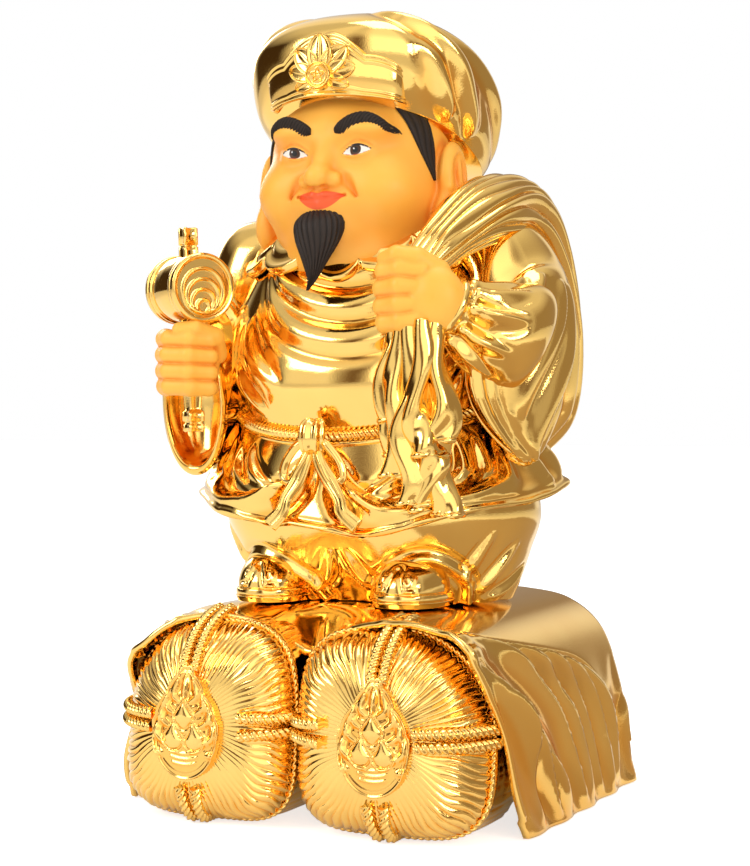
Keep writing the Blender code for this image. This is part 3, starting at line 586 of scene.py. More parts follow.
def jewel(x, z, at_x, at_z, size):
    """A drop with a pointed top: its height, and a ring round it."""
    dx, dz = (x - at_x) / size, (z - at_z) / size
    wide = 1 - 0.55 * np.clip(dz, 0, 1.4)
    reach = np.hypot(dx / np.maximum(wide, 0.2), np.where(dz > 0, dz * 0.72, dz))
    return 2.2 * np.sqrt(np.clip(1 - reach**2, 0, 1)), 0.9 * bump(reach, 1.22, 0.10)


def flame_plaque(side):
    pole, radius = bale_frame(side)
    around, rings = 240, 64
    turn = np.arange(around) / around * math.tau
    edge_x, edge_z = flame_outline(turn)
    share = np.linspace(0.02, 1, rings)[:, None]
    x, z = edge_x[None] * share, edge_z[None] * share
    relief = 1.0 * bump(share, 0.955, 0.035) + 0.4 * bump(share, 0.86, 0.03)
    for at_x, at_z, size in ((0, 3.5, 4.8), (-5.0, -5.5, 4.4), (5.0, -5.5, 4.4)):
        drop, ring_line = jewel(x, z, at_x, at_z, size)
        relief = np.maximum(relief, drop + ring_line)
    for row in (-11.2, -13.6, -16.0):
        within = step_up(10.5 + row * 0.25 - np.abs(x), 0, 2)
        relief = relief + 0.8 * bump(z, row + 0.02 * x**2, 0.7) * within
    points = np.stack([x.ravel(), np.zeros(x.size), z.ravel()], 1)
    facing = np.tile([0.0, -1.0, 0.0], (len(points), 1))
    for mirror in (-1, 1):
        for start, bend, tip in (((7.5, -9), (14, -5), (13.5, 3)), ((6.5, -2), (12.5, 2), (11, 10)),
                                 ((4.8, 4), (10, 8), (7.5, 16)), ((2.2, 9.5), (6.2, 13), (3.6, 20)),
                                 ((9.5, -12.5), (15, -12), (16, -5))):
            line = smooth_rows([(mirror * a, 0, b) for a, b in (start, bend, tip)], 16)
            relief = relief + stroke(points, facing, line, 1.2, 1.2, 0.0, 0.5).reshape(relief.shape)
    line = smooth_rows([(0, 0, 11), (0, 0, 16), (0, 0, 22)], 10)
    relief = relief + stroke(points, facing, line, 1.2, 1.6, 0.0, 0.5).reshape(relief.shape)
    reach = np.hypot(x, z)
    power = 2.45 + 1.2 * np.clip(-np.sin(np.arctan2(z, x)), 0, 1) ** 1.5
    away = np.arcsin(np.clip(reach / radius, 0, 1) ** (power / 2))
    thick = 4.2 * (1 - step_up(share, 0.965, 1.0) * 0.6) + relief
    front = dome_points(radius, np.arctan2(z, x), away, thick) + pole
    back = dome_points(radius, np.arctan2(z, x), away, 0 * thick) + pole
    grid = np.concatenate([front, back[-1:]])
    thing = closed_tube("flame_plaque_relief_" + side, grid)
    # Painted shade: the plaque is redder where its relief is low.
    paint(thing, "hollow_shade", np.clip(0.5 - relief * 0.45, 0, 0.8))
    return settle(thing, GOLD, "gold_plating", "statue", "flame_plaque_" + side)


# The lip of the cloth from the left foot over both bales to the right foot, then the shoulder behind it
# and the back edge: x, y, z of each.
CLOTH_LIP = [
    (-111, -50, 1), (-108.5, -58, 30), (-101, -66, 59), (-90, -79, 82), (-72, -76, 95), (-50, -68, 99),
    (-24, -66, 95), (0, -66, 84), (24, -70, 96), (50, -76, 101), (74, -82, 99), (93, -88, 90),
    (102, -79, 68), (106.5, -68, 38), (108.5, -53, 1),
]
CLOTH_BACK = [
    (-111, 102, 1), (-108, 100, 30), (-103.5, 98, 58), (-94, 97, 84), (-76, 96, 98.5), (-52, 96, 103),
    (-26, 96, 103.6), (0, 96, 103.6), (26, 96, 103.6), (52, 96, 103), (76, 96, 98.5), (94, 97, 84),
    (103.5, 98, 58), (108, 100, 30), (111, 102, 1),
]


def cloth_grid(around, over, down):
    """The cloth's outside: rows that run back over the bales, then rows that hang down behind them."""
    lip = smooth_rows(CLOTH_LIP, around)
    back = smooth_rows(CLOTH_BACK, around)
    share = np.linspace(0, 1, over)[:, None, None]
    grid = lip[None] * (1 - share) + back[None] * share
    ease = step_up(share[..., 0], 0.0, 0.20)
    grid[..., 2] = lip[None, :, 2] * (1 - ease) + back[None, :, 2] * ease
    grid[..., 0] = lip[None, :, 0] * (1 - ease) + back[None, :, 0] * ease
    fall = np.linspace(0, 1, down)[:, None]
    hanging = np.repeat(back[None], down, axis=0)
    hanging[..., 0] *= 1 - 0.012 * np.sqrt(fall)
    hanging[..., 1] += 2.4 * np.sqrt(np.minimum(fall * 9, 1)) - 1.4
    hanging[..., 2] = (back[None, :, 2] - 1.6 * np.sqrt(fall)) * (1 - fall) + 0.8 * fall
    return np.concatenate([grid, hanging[1:]])


def drape_cloth():
    """The cloth over the bales, cast with its hanging folds and a rolled lip."""
    grid = cloth_grid(280, 98, 26)
    over = 98 / len(grid)
    normals = grid_normals(grid, False)
    if normals[49, 140, 2] < 0:
        normals = -normals
    folds = []
    for mirror in (False, True):
        lean = -0.4 if mirror else 0.4
        for k in range(5):
            path = [(0.735 + 0.014 * k, 0.09 + 0.07 * k), (0.80 + 0.008 * k, 0.29 + 0.10 * k),
                    (0.875 + 0.005 * k, 0.44 + 0.098 * k), (0.990, 0.50 + 0.092 * k)]
            path = [(1 - u, v) for u, v in path] if mirror else path
            folds.append((path, 4.8, 5.0, 1.6 * lean, 0.5))
        for k in range(3):
            path = [(0.80 + 0.02 * k, 0.03 + 0.02 * k), (0.88 + 0.015 * k, 0.12 + 0.06 * k),
                    (0.990, 0.16 + 0.11 * k)]
            path = [(1 - u, v) for u, v in path] if mirror else path
            folds.append((path, 4.4, 4.6, 1.6 * lean, 0.5))
    lip_path = [(u, 0.006) for u in np.linspace(0.02, 0.98, 12)]
    folds.append((lip_path, 1.7, 1.5, 0.0, 0.35, True))
    for u, bend in ((0.20, 0.03), (0.30, -0.02), (0.42, 0.02), (0.53, -0.03), (0.62, 0.02), (0.73, 0.03),
                    (0.79, -0.02)):
        folds.append(([(u, 0.0), (u + bend * 0.6, 0.06), (u + bend, 0.13)], 3.6, 1.7, 0.2, 0.3))
    folds = [([(u, v * over) for u, v in path], *rest) for path, *rest in folds]
    for k, u in enumerate(np.linspace(0.14, 0.86, 11)):
        bend = 0.012 if k % 2 else -0.012
        folds.append(([(u, over + 0.03), (u + bend, 0.90), (u + 0.5 * bend, 0.995)], 6.0,
                      2.6 + 0.8 * (k % 3), 0.2, 0.5))
    grid, lift = fold_grid(grid, folds, False, normals)
    around = grid.shape[1]
    hang = np.minimum(np.arange(around), np.arange(around)[::-1]) / around
    free = step_up(-hang, -0.2, -0.02)[None]
    wave = np.sin(np.linspace(0, 1, grid.shape[0]) * 34)[:, None] * 1.4 * free
    ripple = np.sin(np.arange(around) / around * 44)[None] * 2.0 * step_up(-hang, -0.36, -0.16)[None]
    wave = wave + ripple * np.exp(-np.linspace(0, 1, grid.shape[0]) / 0.09)[:, None]
    grid = grid + normals * wave[..., None]
    grid[..., 2] = np.maximum(grid[..., 2], 0.8)
    inner = grid - normals * 3.0
    inner[..., 2] = np.maximum(inner[..., 2], 0.8)
    thing = sheet_solid("drape_cloth_cast", grid, inner)
    # Painted shade: the cloth is redder in the valleys between its folds.
    paint(thing, "hollow_shade", np.clip(0.12 - lift * 0.3, 0, 0.7))
    return settle(thing, GOLD, "gold_plating", "statue", "drape_cloth")


# ---------------------------------------------------------------- robe


def standing(points):
    """Moves points measured from the soles to their height over the floor."""
    return np.asarray(points) + np.array([0, 0, SOLE])


def ring_solid(name, outer, inner):
    """A walled band from its outer and inner grid, joined at both rims."""
    grid = np.concatenate([outer, inner[::-1]])
    along, around = grid.shape[:2]
    faces = grid_faces(along, around)
    last = (along - 1) * around
    faces += [[last + i, last + (i + 1) % around, (i + 1) % around, i] for i in range(around)]
    return outward_faces(mesh_object(name, grid.reshape(-1, 3), faces))


def golden(thing, lift=None, *nodes, body="statue"):
    """Plates a piece; lift is the height of its relief, and painted shade makes it redder where it is low.
    """
    if lift is not None:
        # Painted shade: the low parts of the relief are coloured redder.
        paint(thing, "hollow_shade", np.clip(-np.asarray(lift).ravel() * 0.35, 0, 0.8))
    return settle(thing, GOLD, "gold_plating", body, *nodes)


def leg_reach(turn, half_width, half_depth, apart):
    """How far a section through two round legs reaches from its middle."""
    wide = half_width - apart
    c, s = np.cos(turn), np.sin(turn)
    total = 0
    for side in (-1, 1):
        a = (c / wide) ** 2 + (s / half_depth) ** 2
        b = -2 * c * side * apart / wide**2
        root = np.sqrt(b * b - 4 * a * ((apart / wide) ** 2 - 1))
        total = total + np.maximum((root - b) / (2 * a), 0) ** 14
    return total ** (1 / 14)


# Height, y of the middle, half width, half depth, and how far each leg's middle is from the centre.
LEGS = [(0, 19, 67, 44, 25), (9, 19, 71, 50, 25), (24, 18, 77, 58, 23), (44, 17, 84, 64, 19),
        (64, 16, 79, 61, 12), (80, 16, 60, 52, 6)]


def trousers():
    around, along = 340, 110
    turn = np.arange(around) / around * math.tau
    rows = smooth_rows(LEGS, along)
    reach = np.stack([leg_reach(turn, row[2], row[3], row[4]) for row in rows])
    grid = np.stack([reach * np.cos(turn), rows[:, 1:2] + reach * np.sin(turn), rows[:, 0:1] + 0 * reach],
                    -1)
    folds = []
    for ankle, mirror in ((0.637, -1), (0.863, 1)):
        for spread, low, high, width, height in ((-0.078, 0.16, 0.44, 2.6, 1.8),
                                                 (0.056, 0.24, 0.54, 2.6, 2.2),
                                                 (0.086, 0.14, 0.48, 2.8, 2.4),
                                                 (0.114, 0.05, 0.32, 2.6, 2.2)):
            foot = ankle + mirror * spread * 0.80
            top = ankle + mirror * spread * 1.35
            path = [(foot, low), ((foot + top) / 2 - mirror * 0.004, (low + high) / 2 - 0.02), (top, high)]
            folds.append((path, width, height, 0.25 * mirror, 0.5))
        arch = [(ankle - 0.062, 0.03), (ankle - 0.050, 0.26), (ankle, 0.40), (ankle + 0.050, 0.26),
                (ankle + 0.062, 0.03)]
        folds.append((arch, 2.2, 2.4, 0, 0.5, True))
        back = 0.25 - mirror * 0.10
        for k in range(3):
            at = back + k * 0.04 * mirror
            folds.append(([(at, 0.04), (at + 0.005, 0.3), (at + 0.02 * mirror, 0.6)], 5, 2.4, 0.2, 0.5))
    grid, lift = fold_grid(grid, folds)
    grid[..., 0] += 3 * np.clip(1 - grid[..., 2] / 60, 0, 1)
    return golden(closed_tube("trousers_cast", standing(grid)), lift * 0.6, "trousers")


SKIRT = [(52, 16, 95, 85, 0.13), (62, 16, 90, 79, 0.15), (76, 15, 82, 72, 0.20), (97.5, 14, 71, 64, 0.22)]


def skirt():
    around, along = 420, 66
    grid = stack_grid(SKIRT, around, along, 2.15)
    share = np.arange(around) / around
    drop = 1 - np.linspace(0, 1, along)[:, None]
    wave = 1.5 * np.sin(share * math.tau * 6 + 0.6) + 1.0 * np.sin(share * math.tau * 9 + 2.0)
    tip = 3 * bump(share, 0.035, 0.02) - 3 * bump(share, 0.75, 0.035)
    outward = grid - grid.mean(axis=1, keepdims=True)
    outward[..., 2] = 0
    outward /= np.linalg.norm(outward, axis=2, keepdims=True)
    grid = grid + outward * ((wave + tip)[None] * drop**1.6)[..., None]
    hem = (1.4 * np.sin(share * math.tau * 6 - 0.5)
           - 4.0 * bump(share, 0.79, 0.06) + 3 * bump(share, 0.62, 0.06))
    hem = hem + 3.0 * np.cos(share * math.tau) ** 2
    grid[..., 2] += hem[None] * drop**1.6 + 5 * np.cos(share * math.tau)[None] ** 2 * (1 - drop)
    folds = []
    for mirror in (-1, 1):
        for k in range(5):
            near, far = 0.75 + mirror * (0.012 + 0.006 * k), 0.75 + mirror * (0.085 + 0.026 * k)
            low = 0.52 - 0.085 * k
            path = [(near, 0.86 - 0.04 * k), (near + mirror * 0.012, low + 0.12),
                    ((near * 0.55 + far * 0.45), low), (far, low + 0.22), (far + mirror * 0.012, 0.88)]
            folds.append((path, 3.6 + 0.3 * k, 2.5, 0.35 * mirror, 0.5))
        for start, end, low in ((0.225, 0.248, 0.10), (0.262, 0.285, 0.20)):
            path = [(0.75 + mirror * start, 0.94), (0.75 + mirror * end, 0.5),
                    (0.75 + mirror * (end + 0.006), low)]
            folds.append((path, 6, 2.6, 0.3, 0.5))
        for u, low in ((0.32, 0.1), (0.37, 0.3), (0.43, 0.1)):
            path = [(0.75 + mirror * u, 0.95), (0.75 + mirror * (u + 0.01), 0.5), (0.75 + mirror * u, low)]
            folds.append((path, 7, 2.6, 0.2, 0.5))
    folds.append(([(u, 0.030) for u in np.linspace(0.0, 1.0, 40)], 1.6, 1.3, 0.0, 0.5, True))
    grid, lift = fold_grid(grid, folds)
    inner = grid - grid_normals(grid) * 3.2
    thing = ring_solid("robe_skirt_cast", standing(grid), standing(inner))
    return golden(thing, lift, "robe_skirt")


TORSO = [(96, 14, 69, 63, 0.22), (118, 12, 79, 69, 0.15), (138, 12, 78, 64, 0.08), (164, 11, 67, 53, 0.02),
         (182, 10, 52, 42, 0), (195, 10, 34, 33, 0)]


def torso():
    """The robe over the belly, with cloth slung across the chest in shallow curves."""
    grid = stack_grid(TORSO, 360, 144, 2.1)
    folds = []
    sagging = ((0.71, 0.085, 0.085, 3.8, 2.8), (0.615, 0.110, 0.15, 4.6, 3.6),
               (0.505, 0.125, 0.21, 5.4, 3.8), (0.39, 0.125, 0.24, 6.2, 3.0))
    for k, (v, span, sag, width, height) in enumerate(sagging):
        middle = 0.765 + 0.004 * k
        path = [(middle - span, v + sag), (middle - span * 0.62, v + sag * 0.25), (middle, v - 0.02),
                (middle + span * 0.62, v + sag * 0.30), (middle + span, v + sag * 1.15)]
        folds.append((path, width, height, -0.35, 0.5))
    for path, width, height in (
        ([(0.640, 0.46), (0.662, 0.32), (0.705, 0.19)], 5.0, 2.4),
        ([(0.628, 0.30), (0.648, 0.18), (0.682, 0.08)], 4.4, 2.0),
        ([(0.885, 0.42), (0.860, 0.28), (0.815, 0.17)], 4.4, 2.8),
        ([(0.895, 0.28), (0.872, 0.17), (0.835, 0.09)], 4.0, 2.6),
        ([(0.25, 0.86), (0.26, 0.5), (0.24, 0.1)], 8, 2.6),
        ([(0.33, 0.84), (0.34, 0.5), (0.33, 0.12)], 8, 2.8),
        ([(0.17, 0.84), (0.15, 0.5), (0.16, 0.1)], 8, 2.8),
        ([(0.42, 0.8), (0.44, 0.45), (0.42, 0.1)], 7, 2.8),
        ([(0.08, 0.8), (0.05, 0.45), (0.08, 0.1)], 7, 2.8),
    ):
        folds.append((path, width, height, 0.3, 0.5))
    grid, lift = fold_grid(grid, folds)
    return golden(closed_tube("robe_torso_cast", standing(grid)), lift, "robe_torso")


def collar():
    """A cloud-shaped collar with a doubled raised border, which dips to a point under the beard."""
    around, along = 420, 40
    share = np.arange(around) / around
    lobe = np.abs(np.sin(share * math.pi * 14)) ** 0.6
    level = np.linspace(0, 1, along)[:, None]
    low = 0.16 - 0.16 * lobe - 0.16 * bump(share, 0.765, 0.030)
    line = smooth_rows([(0.0,), (1.0,)], along)
    rows = low[None] + (1 - low[None]) * line
    extended = stack_grid([(156, 11, 72, 58, 0.02), (166, 10.5, 67, 54, 0.01), (182, 10, 55, 44.5, 0),
                           (192, 9, 42, 37, 0), (198, 8, 30, 29, 0)], around, 240, 2.1)
    at = (0.22 + 0.78 * rows) * 239
    i = np.clip(np.floor(at).astype(int), 0, 238)
    t = (at - i)[..., None]
    column = np.arange(around)[None]
    shaped = extended[i, column] * (1 - t) + extended[i + 1, column] * t
    normals = grid_normals(shaped)
    border = 1.5 * bump(level, 0.05, 0.045) + 1.1 * bump(level, 0.20, 0.035)
    outer = shaped + normals * (3.0 + border)[..., None]
    outer[0] = shaped[0] + normals[0] * 1.2
    thing = ring_solid("scalloped_collar_cast", standing(outer), standing(shaped - normals * 0.5))
    return golden(thing, border - 0.6 + 0 * outer[..., 0], "scalloped_collar")


def waist_line(height, standoff, count):
    turn = np.arange(count) / count * math.tau
    level = height + 14.5 * np.sin(turn) + 5 * np.cos(turn) ** 2
    return np.stack([(71.5 + standoff) * np.cos(turn), 14 + (64 + standoff) * np.sin(turn), level], -1)


def belt():
    """The twisted waist cord, with a plain cord under it."""
    twisted, plain = standing(waist_line(98, 2.2, 240)), standing(waist_line(94, 2.4, 240))
    thing = grown(path_curve("belt", [twisted], True), ROPE_TREE, "belt_cord_strands", Rope_Radius=0.0028,
                  Turns_Per_Metre=120.0, Strands=3.0, Groove=0.17, Step=0.0007, Finish=GOLD)
    settle(thing, GOLD, "gold_plating", "statue", "belt_cord")
    thing = grown(path_curve("belt_edge", [plain], True), ROPE_TREE, "belt_cord_edge", Rope_Radius=0.0014,
                  Turns_Per_Metre=0.0, Strands=3.0, Groove=0.0, Step=0.003, Finish=GOLD)
    settle(thing, GOLD, "gold_plating", "statue")


def ribbon(name, path, half_wide, half_thick, grooves=2, flare=None):
    """A flat cord along a path that lies in the front plane, grooved lengthwise."""
    line = smooth_rows(path, 46)
    run = np.gradient(line, axis=0)
    run /= np.linalg.norm(run, axis=1, keepdims=True)
    facing = np.array([0.0, -1.0, 0.0])
    across = np.cross(run, facing)
    across /= np.maximum(np.linalg.norm(across, axis=1, keepdims=True), 1e-6)
    normal = np.cross(across, run)
    turn = np.arange(40) / 40 * math.tau
    wide = half_wide * (np.ones(46) if flare is None else smooth_rows([[f] for f in flare], 46)[:, 0])
    shape = 1 + 0.22 * np.cos(turn * 2 * (grooves + 1))
    c = np.sign(np.cos(turn)) * np.abs(np.cos(turn)) ** 0.8
    grid = line[:, None] + across[:, None] * (wide[:, None] * c[None])[..., None]
    grid = grid + normal[:, None] * (half_thick * np.sin(turn) * shape)[None, :, None]
    return closed_tube(name, grid)


def joined(name, things):
    """One mesh out of several."""
    points, faces, start = [], [], 0
    for thing in things:
        mesh = thing.data
        co = np.empty(len(mesh.vertices) * 3)
        mesh.vertices.foreach_get("co", co)
        points.append(co.reshape(-1, 3) / MM)
        faces += [[i + start for i in face.vertices] for face in mesh.polygons]
        start += len(mesh.vertices)
        bpy.data.objects.remove(thing)
        bpy.data.meshes.remove(mesh)
    return mesh_object(name, np.concatenate(points), faces)


def bow():
    """The knot of the waist cord, its two loops and its two ends."""
    parts = []
    for mirror in (-1, 1):
        loop = [(mirror * 1, -60, 82), (mirror * 8, -62.5, 79), (mirror * 14.5, -62, 71),
                (mirror * 16, -62, 63.5), (mirror * 11, -63.5, 61.5), (mirror * 6.5, -63.5, 68),
                (mirror * 2, -61.5, 77)]
        parts.append(ribbon("loop", standing(loop), 2.3, 1.7, 1))
        reach = 1.0 if mirror < 0 else 1.35
        tail = [(mirror * 1, -60.5, 80), (mirror * 4, -62.5, 71), (mirror * 7.5 * reach, -64, 62),
                (mirror * 12 * reach, -66, 54), (mirror * 14 * reach, -67.5, 47),
                (mirror * 20 * reach, -68.5, 40.5)]
        parts.append(ribbon("tail", standing(tail), 3.4, 1.7, 2, (0.8, 1.0, 1.15, 0.95, 1.1, 1.25)))
    knot = stack_grid([(75, -61, 4.0, 3.4, 0), (77.5, -62, 5.6, 5.0, 0), (83, -62.5, 6.2, 5.6, 0),
                       (89, -61.5, 5.8, 5.0, 0), (92, -60, 3.8, 3.4, 0)], 60, 26, 2.3)
    knot = knot + grid_normals(knot) * (0.7 * np.cos(np.arange(60) / 60 * math.tau * 7))[None, :, None]
    parts.append(closed_tube("knot", standing(knot)))
    return golden(joined("belt_bow_cast", parts), None, "belt_bow")


def shoe(side):
    x = -38 if side == "right" else 38
    rows = [(0.3, -26, 17.6, 25.5, 0), (3.0, -26, 18.6, 26.8, 0), (3.5, -26, 17.6, 25.8, 0),
            (4.1, -26, 18.4, 26.6, 0), (6.6, -26, 18.2, 26.3, 0), (7.1, -26, 16.9, 25.0, 0),
            (8.0, -26, 17.4, 25.3, 0), (12, -25.5, 17.4, 24.8, 0), (17, -24.5, 16.2, 22.6, 0),
            (21.5, -23.0, 13.2, 18.5, 0), (24.6, -21.5, 8.6, 12.5, 0), (26.0, -20.5, 3.4, 5.0, 0)]
    grid = stack_grid(rows, 130, 96, 2.25)
    grid[..., 0] += x
    front = 0.75
    cloud = [(front - 0.075, 0.56), (front - 0.050, 0.57), (front - 0.040, 0.64), (front - 0.022, 0.75),
             (front, 0.79), (front + 0.022, 0.75), (front + 0.040, 0.64), (front + 0.050, 0.57),
             (front + 0.075, 0.56)]
    curl = [(front - 0.055, 0.62), (front - 0.062, 0.68), (front - 0.046, 0.70), (front - 0.040, 0.64)]
    fellow = [(1.5 - u, v) for u, v in curl]
    folds = [(cloud, 0.9, 1.0, 0, 0.5, True), (curl, 0.8, 0.8, 0, 0.5, True),
             (fellow, 0.8, 0.8, 0, 0.5, True)]
    grid, lift = fold_grid(grid, folds)
    return golden(closed_tube("shoe_cast_" + side, standing(grid)), lift, "shoe_" + side)


# ---------------------------------------------------------------- sleeves and sack


def sleeve(side, rows, folds, sweep):
    """A wide hanging sleeve that opens to the front; its edge is rolled and its lower corner sweeps back."""
    grid = tube_grid(rows, 240, 150, 2.1)
    (_, _, height), _, (_, _, half) = rows[-1]
    near_mouth = step_up(np.linspace(0, 1, 150), 0.6, 1.0)[:, None]
    low = np.clip((height - grid[..., 2]) / half, 0, 1) ** 2 * near_mouth
    grid = grid + low[..., None] * np.array(sweep, float)
    rim = [([(u, 0.978) for u in np.linspace(0, 1, 16)], 1.9, 1.5, 0, 0.4, True),
           ([(u, 0.935) for u in np.linspace(0, 1, 16)], 1.3, 0.7, 0, 0.4, True)]
    grid, lift = fold_grid(grid, rim + folds)
    mouth = grid[-1]
    middle = mouth.mean(0)
    inside = [middle + (mouth - middle) * shrink + np.array([0, back, 0])
              for shrink, back in ((0.955, -0.9), (0.90, 0.4), (0.86, 3), (0.80, 8), (0.66, 14))]
    grid = np.concatenate([grid, np.stack(inside)])
    lift = np.concatenate([lift, np.full((5, grid.shape[1]), -1.2)])
    return closed_tube(f"sleeve_{side}_cast", standing(grid)), lift


def cuff():
    """The rolled edge of the left sleeve round the wrist, and the cloth that fans out behind it."""
    run = np.array([20.0, 24.0, -15.0])
    run /= np.linalg.norm(run)
    across = np.cross(run, (0, 0, 1.0))
    across /= np.linalg.norm(across)
    upward = np.cross(across, run)
    start = np.array([68.0, -55.0, 145.5])
    rows = [(start + run * t, across * r, upward * r * 1.08)
            for t, r in ((5.0, 9.0), (1.0, 11.4), (-0.6, 12.4), (0.2, 13.9), (2.2, 14.1), (3.6, 13.1),
                         (5.4, 13.2), (7.0, 14.4), (10, 15.0))]
    rows += [(np.array(place, float), across * r, upward * r * 1.15)
             for place, r in (((78, -44, 138), 17), ((83, -34, 135), 21), ((88, -22, 132), 25),
                              ((90, -10, 129), 24), ((90, 0, 128), 14))]
    grid = tube_grid(rows, 170, 110, 2.0)
    folds = [([(u, 0.42), (u + 0.01, 0.56), (u + 0.025, 0.70), (u + 0.03, 0.80)], 3.0, 2.4, 0.3, 0.5)
             for u in np.arange(0, 1, 0.111)]
    grid, _ = fold_grid(grid, folds)
    return closed_tube("cuff", standing(grid))


SLEEVE_RIGHT = [((-34, 12, 182), (0, 20, 0), (-4, 0, 17)), ((-60, 8, 174), (0, 24, 0), (-18, 0, 20)),
                ((-74, 4, 152), (-6, 23, 2), (-20, -2, 14)), ((-80, -8, 126), (-17, 12, 2), (-10, -8, 32)),
                ((-80, -28, 108), (-18, 3, 0), (0, -4, 41)), ((-77, -46, 101), (-17, 0, 0), (0, -2, 37))]
SLEEVE_LEFT = [((34, 12, 182), (0, 20, 0), (4, 0, 17)), ((62, 12, 172), (0, 26, 0), (18, 0, 20)),
               ((78, 8, 152), (8, 26, 0), (18, 0, 20)), ((90, -4, 122), (16, 14, 0), (6, -6, 43)),
               ((84, -24, 112), (13, 0, 0), (2, -6, 43)), ((73, -40, 112), (5, -8, 0), (1, -7, 40))]


def sleeves():
    right = [
        ([(0.10, 0.12), (0.06, 0.30), (0.04, 0.48), (0.02, 0.66)], 6, 3.4, 0.3, 0.5),
        ([(0.20, 0.18), (0.15, 0.36), (0.11, 0.55), (0.10, 0.74)], 6, 3.0, -0.3, 0.5),
        ([(0.95, 0.22), (0.92, 0.42), (0.90, 0.62), (0.88, 0.80)], 6, 3.0, 0.3, 0.5),
        ([(0.30, 0.30), (0.27, 0.50), (0.25, 0.70), (0.26, 0.90)], 5, 3.0, 0.3, 0.5),
        ([(0.40, 0.40), (0.42, 0.58), (0.46, 0.76), (0.52, 0.92)], 5, 2.6, 0.3, 0.5),
        ([(0.82, 0.36), (0.78, 0.55), (0.76, 0.74), (0.75, 0.90)], 5, 2.6, 0.3, 0.5),
        ([(0.68, 0.5), (0.66, 0.66), (0.66, 0.88)], 4.5, 2.4, -0.3, 0.5),
    ]
    left = [
        ([(0.13, 0.50), (0.05, 0.55), (0.97, 0.66), (0.88, 0.76), (0.80, 0.84)], 5, 3.0, 0.35, 0.5),
        ([(0.16, 0.56), (0.08, 0.64), (0.01, 0.74), (0.93, 0.84)], 4.6, 3.0, 0.35, 0.5),
        ([(0.22, 0.62), (0.15, 0.72), (0.08, 0.82), (0.02, 0.92)], 4.2, 2.8, 0.35, 0.5),
        ([(0.28, 0.66), (0.22, 0.76), (0.17, 0.86), (0.14, 0.95)], 3.8, 2.6, 0.3, 0.5),
        ([(0.33, 0.72), (0.36, 0.82), (0.42, 0.92)], 3.6, 2.4, 0.3, 0.5),
        ([(0.04, 0.30), (0.99, 0.44), (0.90, 0.58), (0.84, 0.70)], 7, 3.0, -0.3, 0.5),
        ([(0.92, 0.28), (0.86, 0.44), (0.80, 0.62), (0.76, 0.80)], 7, 2.8, -0.3, 0.5),
        ([(0.70, 0.5), (0.68, 0.7), (0.67, 0.9)], 5, 2.4, 0.3, 0.5),
    ]
    left = [([(u + 1 if u < 0.5 else u, v) for u, v in path], *rest) for path, *rest in left]
    golden(*sleeve("right", SLEEVE_RIGHT, right, (0, 0, 0)), "sleeve_right")
    hanging, _ = sleeve("left", SLEEVE_LEFT, left, (18, 15, 0))
    golden(joined("sleeve_left_cast", [hanging, cuff()]), None, "sleeve_left")


SACK = [((55, -57, 163), (9, 2, 0), (0, -6, 5)), ((61, -42, 177), (12, 2, 0), (0, -8, 8)),
        ((67, -14, 193), (18, 2, 0), (0, -4, 14)), ((65, 22, 197), (24, 2, 0), (0, 8, 18)),
        ((60, 48, 176), (30, 2, 0), (0, 22, 16)), ((54, 60, 135), (38, 2, 0), (0, 32, 4)),
        ((48, 61, 95), (40, 2, 0), (0, 33, -4)), ((44, 58, 70), (27, 2, 0), (0, 22, -4))]


def gathered(grid, count, depth, sway, seed, sharp=0.85):
    """Cloth gathered into long folds that run along a grid; depth and sway are read along it."""
    rng = np.random.default_rng(seed)
    along, around = grid.shape[:2]
    v = np.linspace(0, 1, along)[:, None]
    u = np.arange(around)[None] / around
    phase = count * (u + np.interp(v, np.linspace(0, 1, len(sway)), sway))
    phase = (phase + 0.25 * np.sin(math.tau * (3 * u + 1.3 * v))
             + 0.18 * np.sin(math.tau * (5 * u - 2.1 * v + 0.3)))
    fold = np.floor(phase).astype(int) % count
    strong = rng.uniform(0.55, 1.2, count)[fold]
    fade = 0.75 + 0.35 * np.sin(v * rng.uniform(3, 8, count)[fold] + rng.uniform(0, 6, count)[fold])
    ridge = np.abs(np.sin(np.pi * phase)) ** sharp - 0.5
    lift = ridge * strong * fade * np.interp(v, np.linspace(0, 1, len(depth)), depth)
    return grid + grid_normals(grid) * lift[..., None], lift


def sack():
    grid = tube_grid(SACK, 330, 230, 2.0)
    grid, lift = gathered(grid, 17, (1.2, 2.4, 4.0, 4.8, 4.4, 3.6, 2.6, 1.2),
                          (0, 0.02, 0.05, 0.07, 0.05, 0.0, -0.03, 0), 4)
    return golden(closed_tube("sack_cast", standing(grid)), lift, "sack")


# The hanging pleats of the sack's mouth: x at the top, x and height of the end, y, half width, sway.
PLEATS = [(45, 42, 92, -62, 6.4, 3.0), (49, 47, 66, -65, 7.0, 4.0), (55, 54, 53, -66, 7.6, -3.6),
          (61, 60, 76, -68, 7.0, 4.2), (66, 69, 83, -64, 7.0, -3.6), (59, 62, 50, -63, 7.8, 4.2),
          (63, 68, 48, -61, 8.0, -4.0), (50, 45, 76, -59, 6.6, -3.4)]


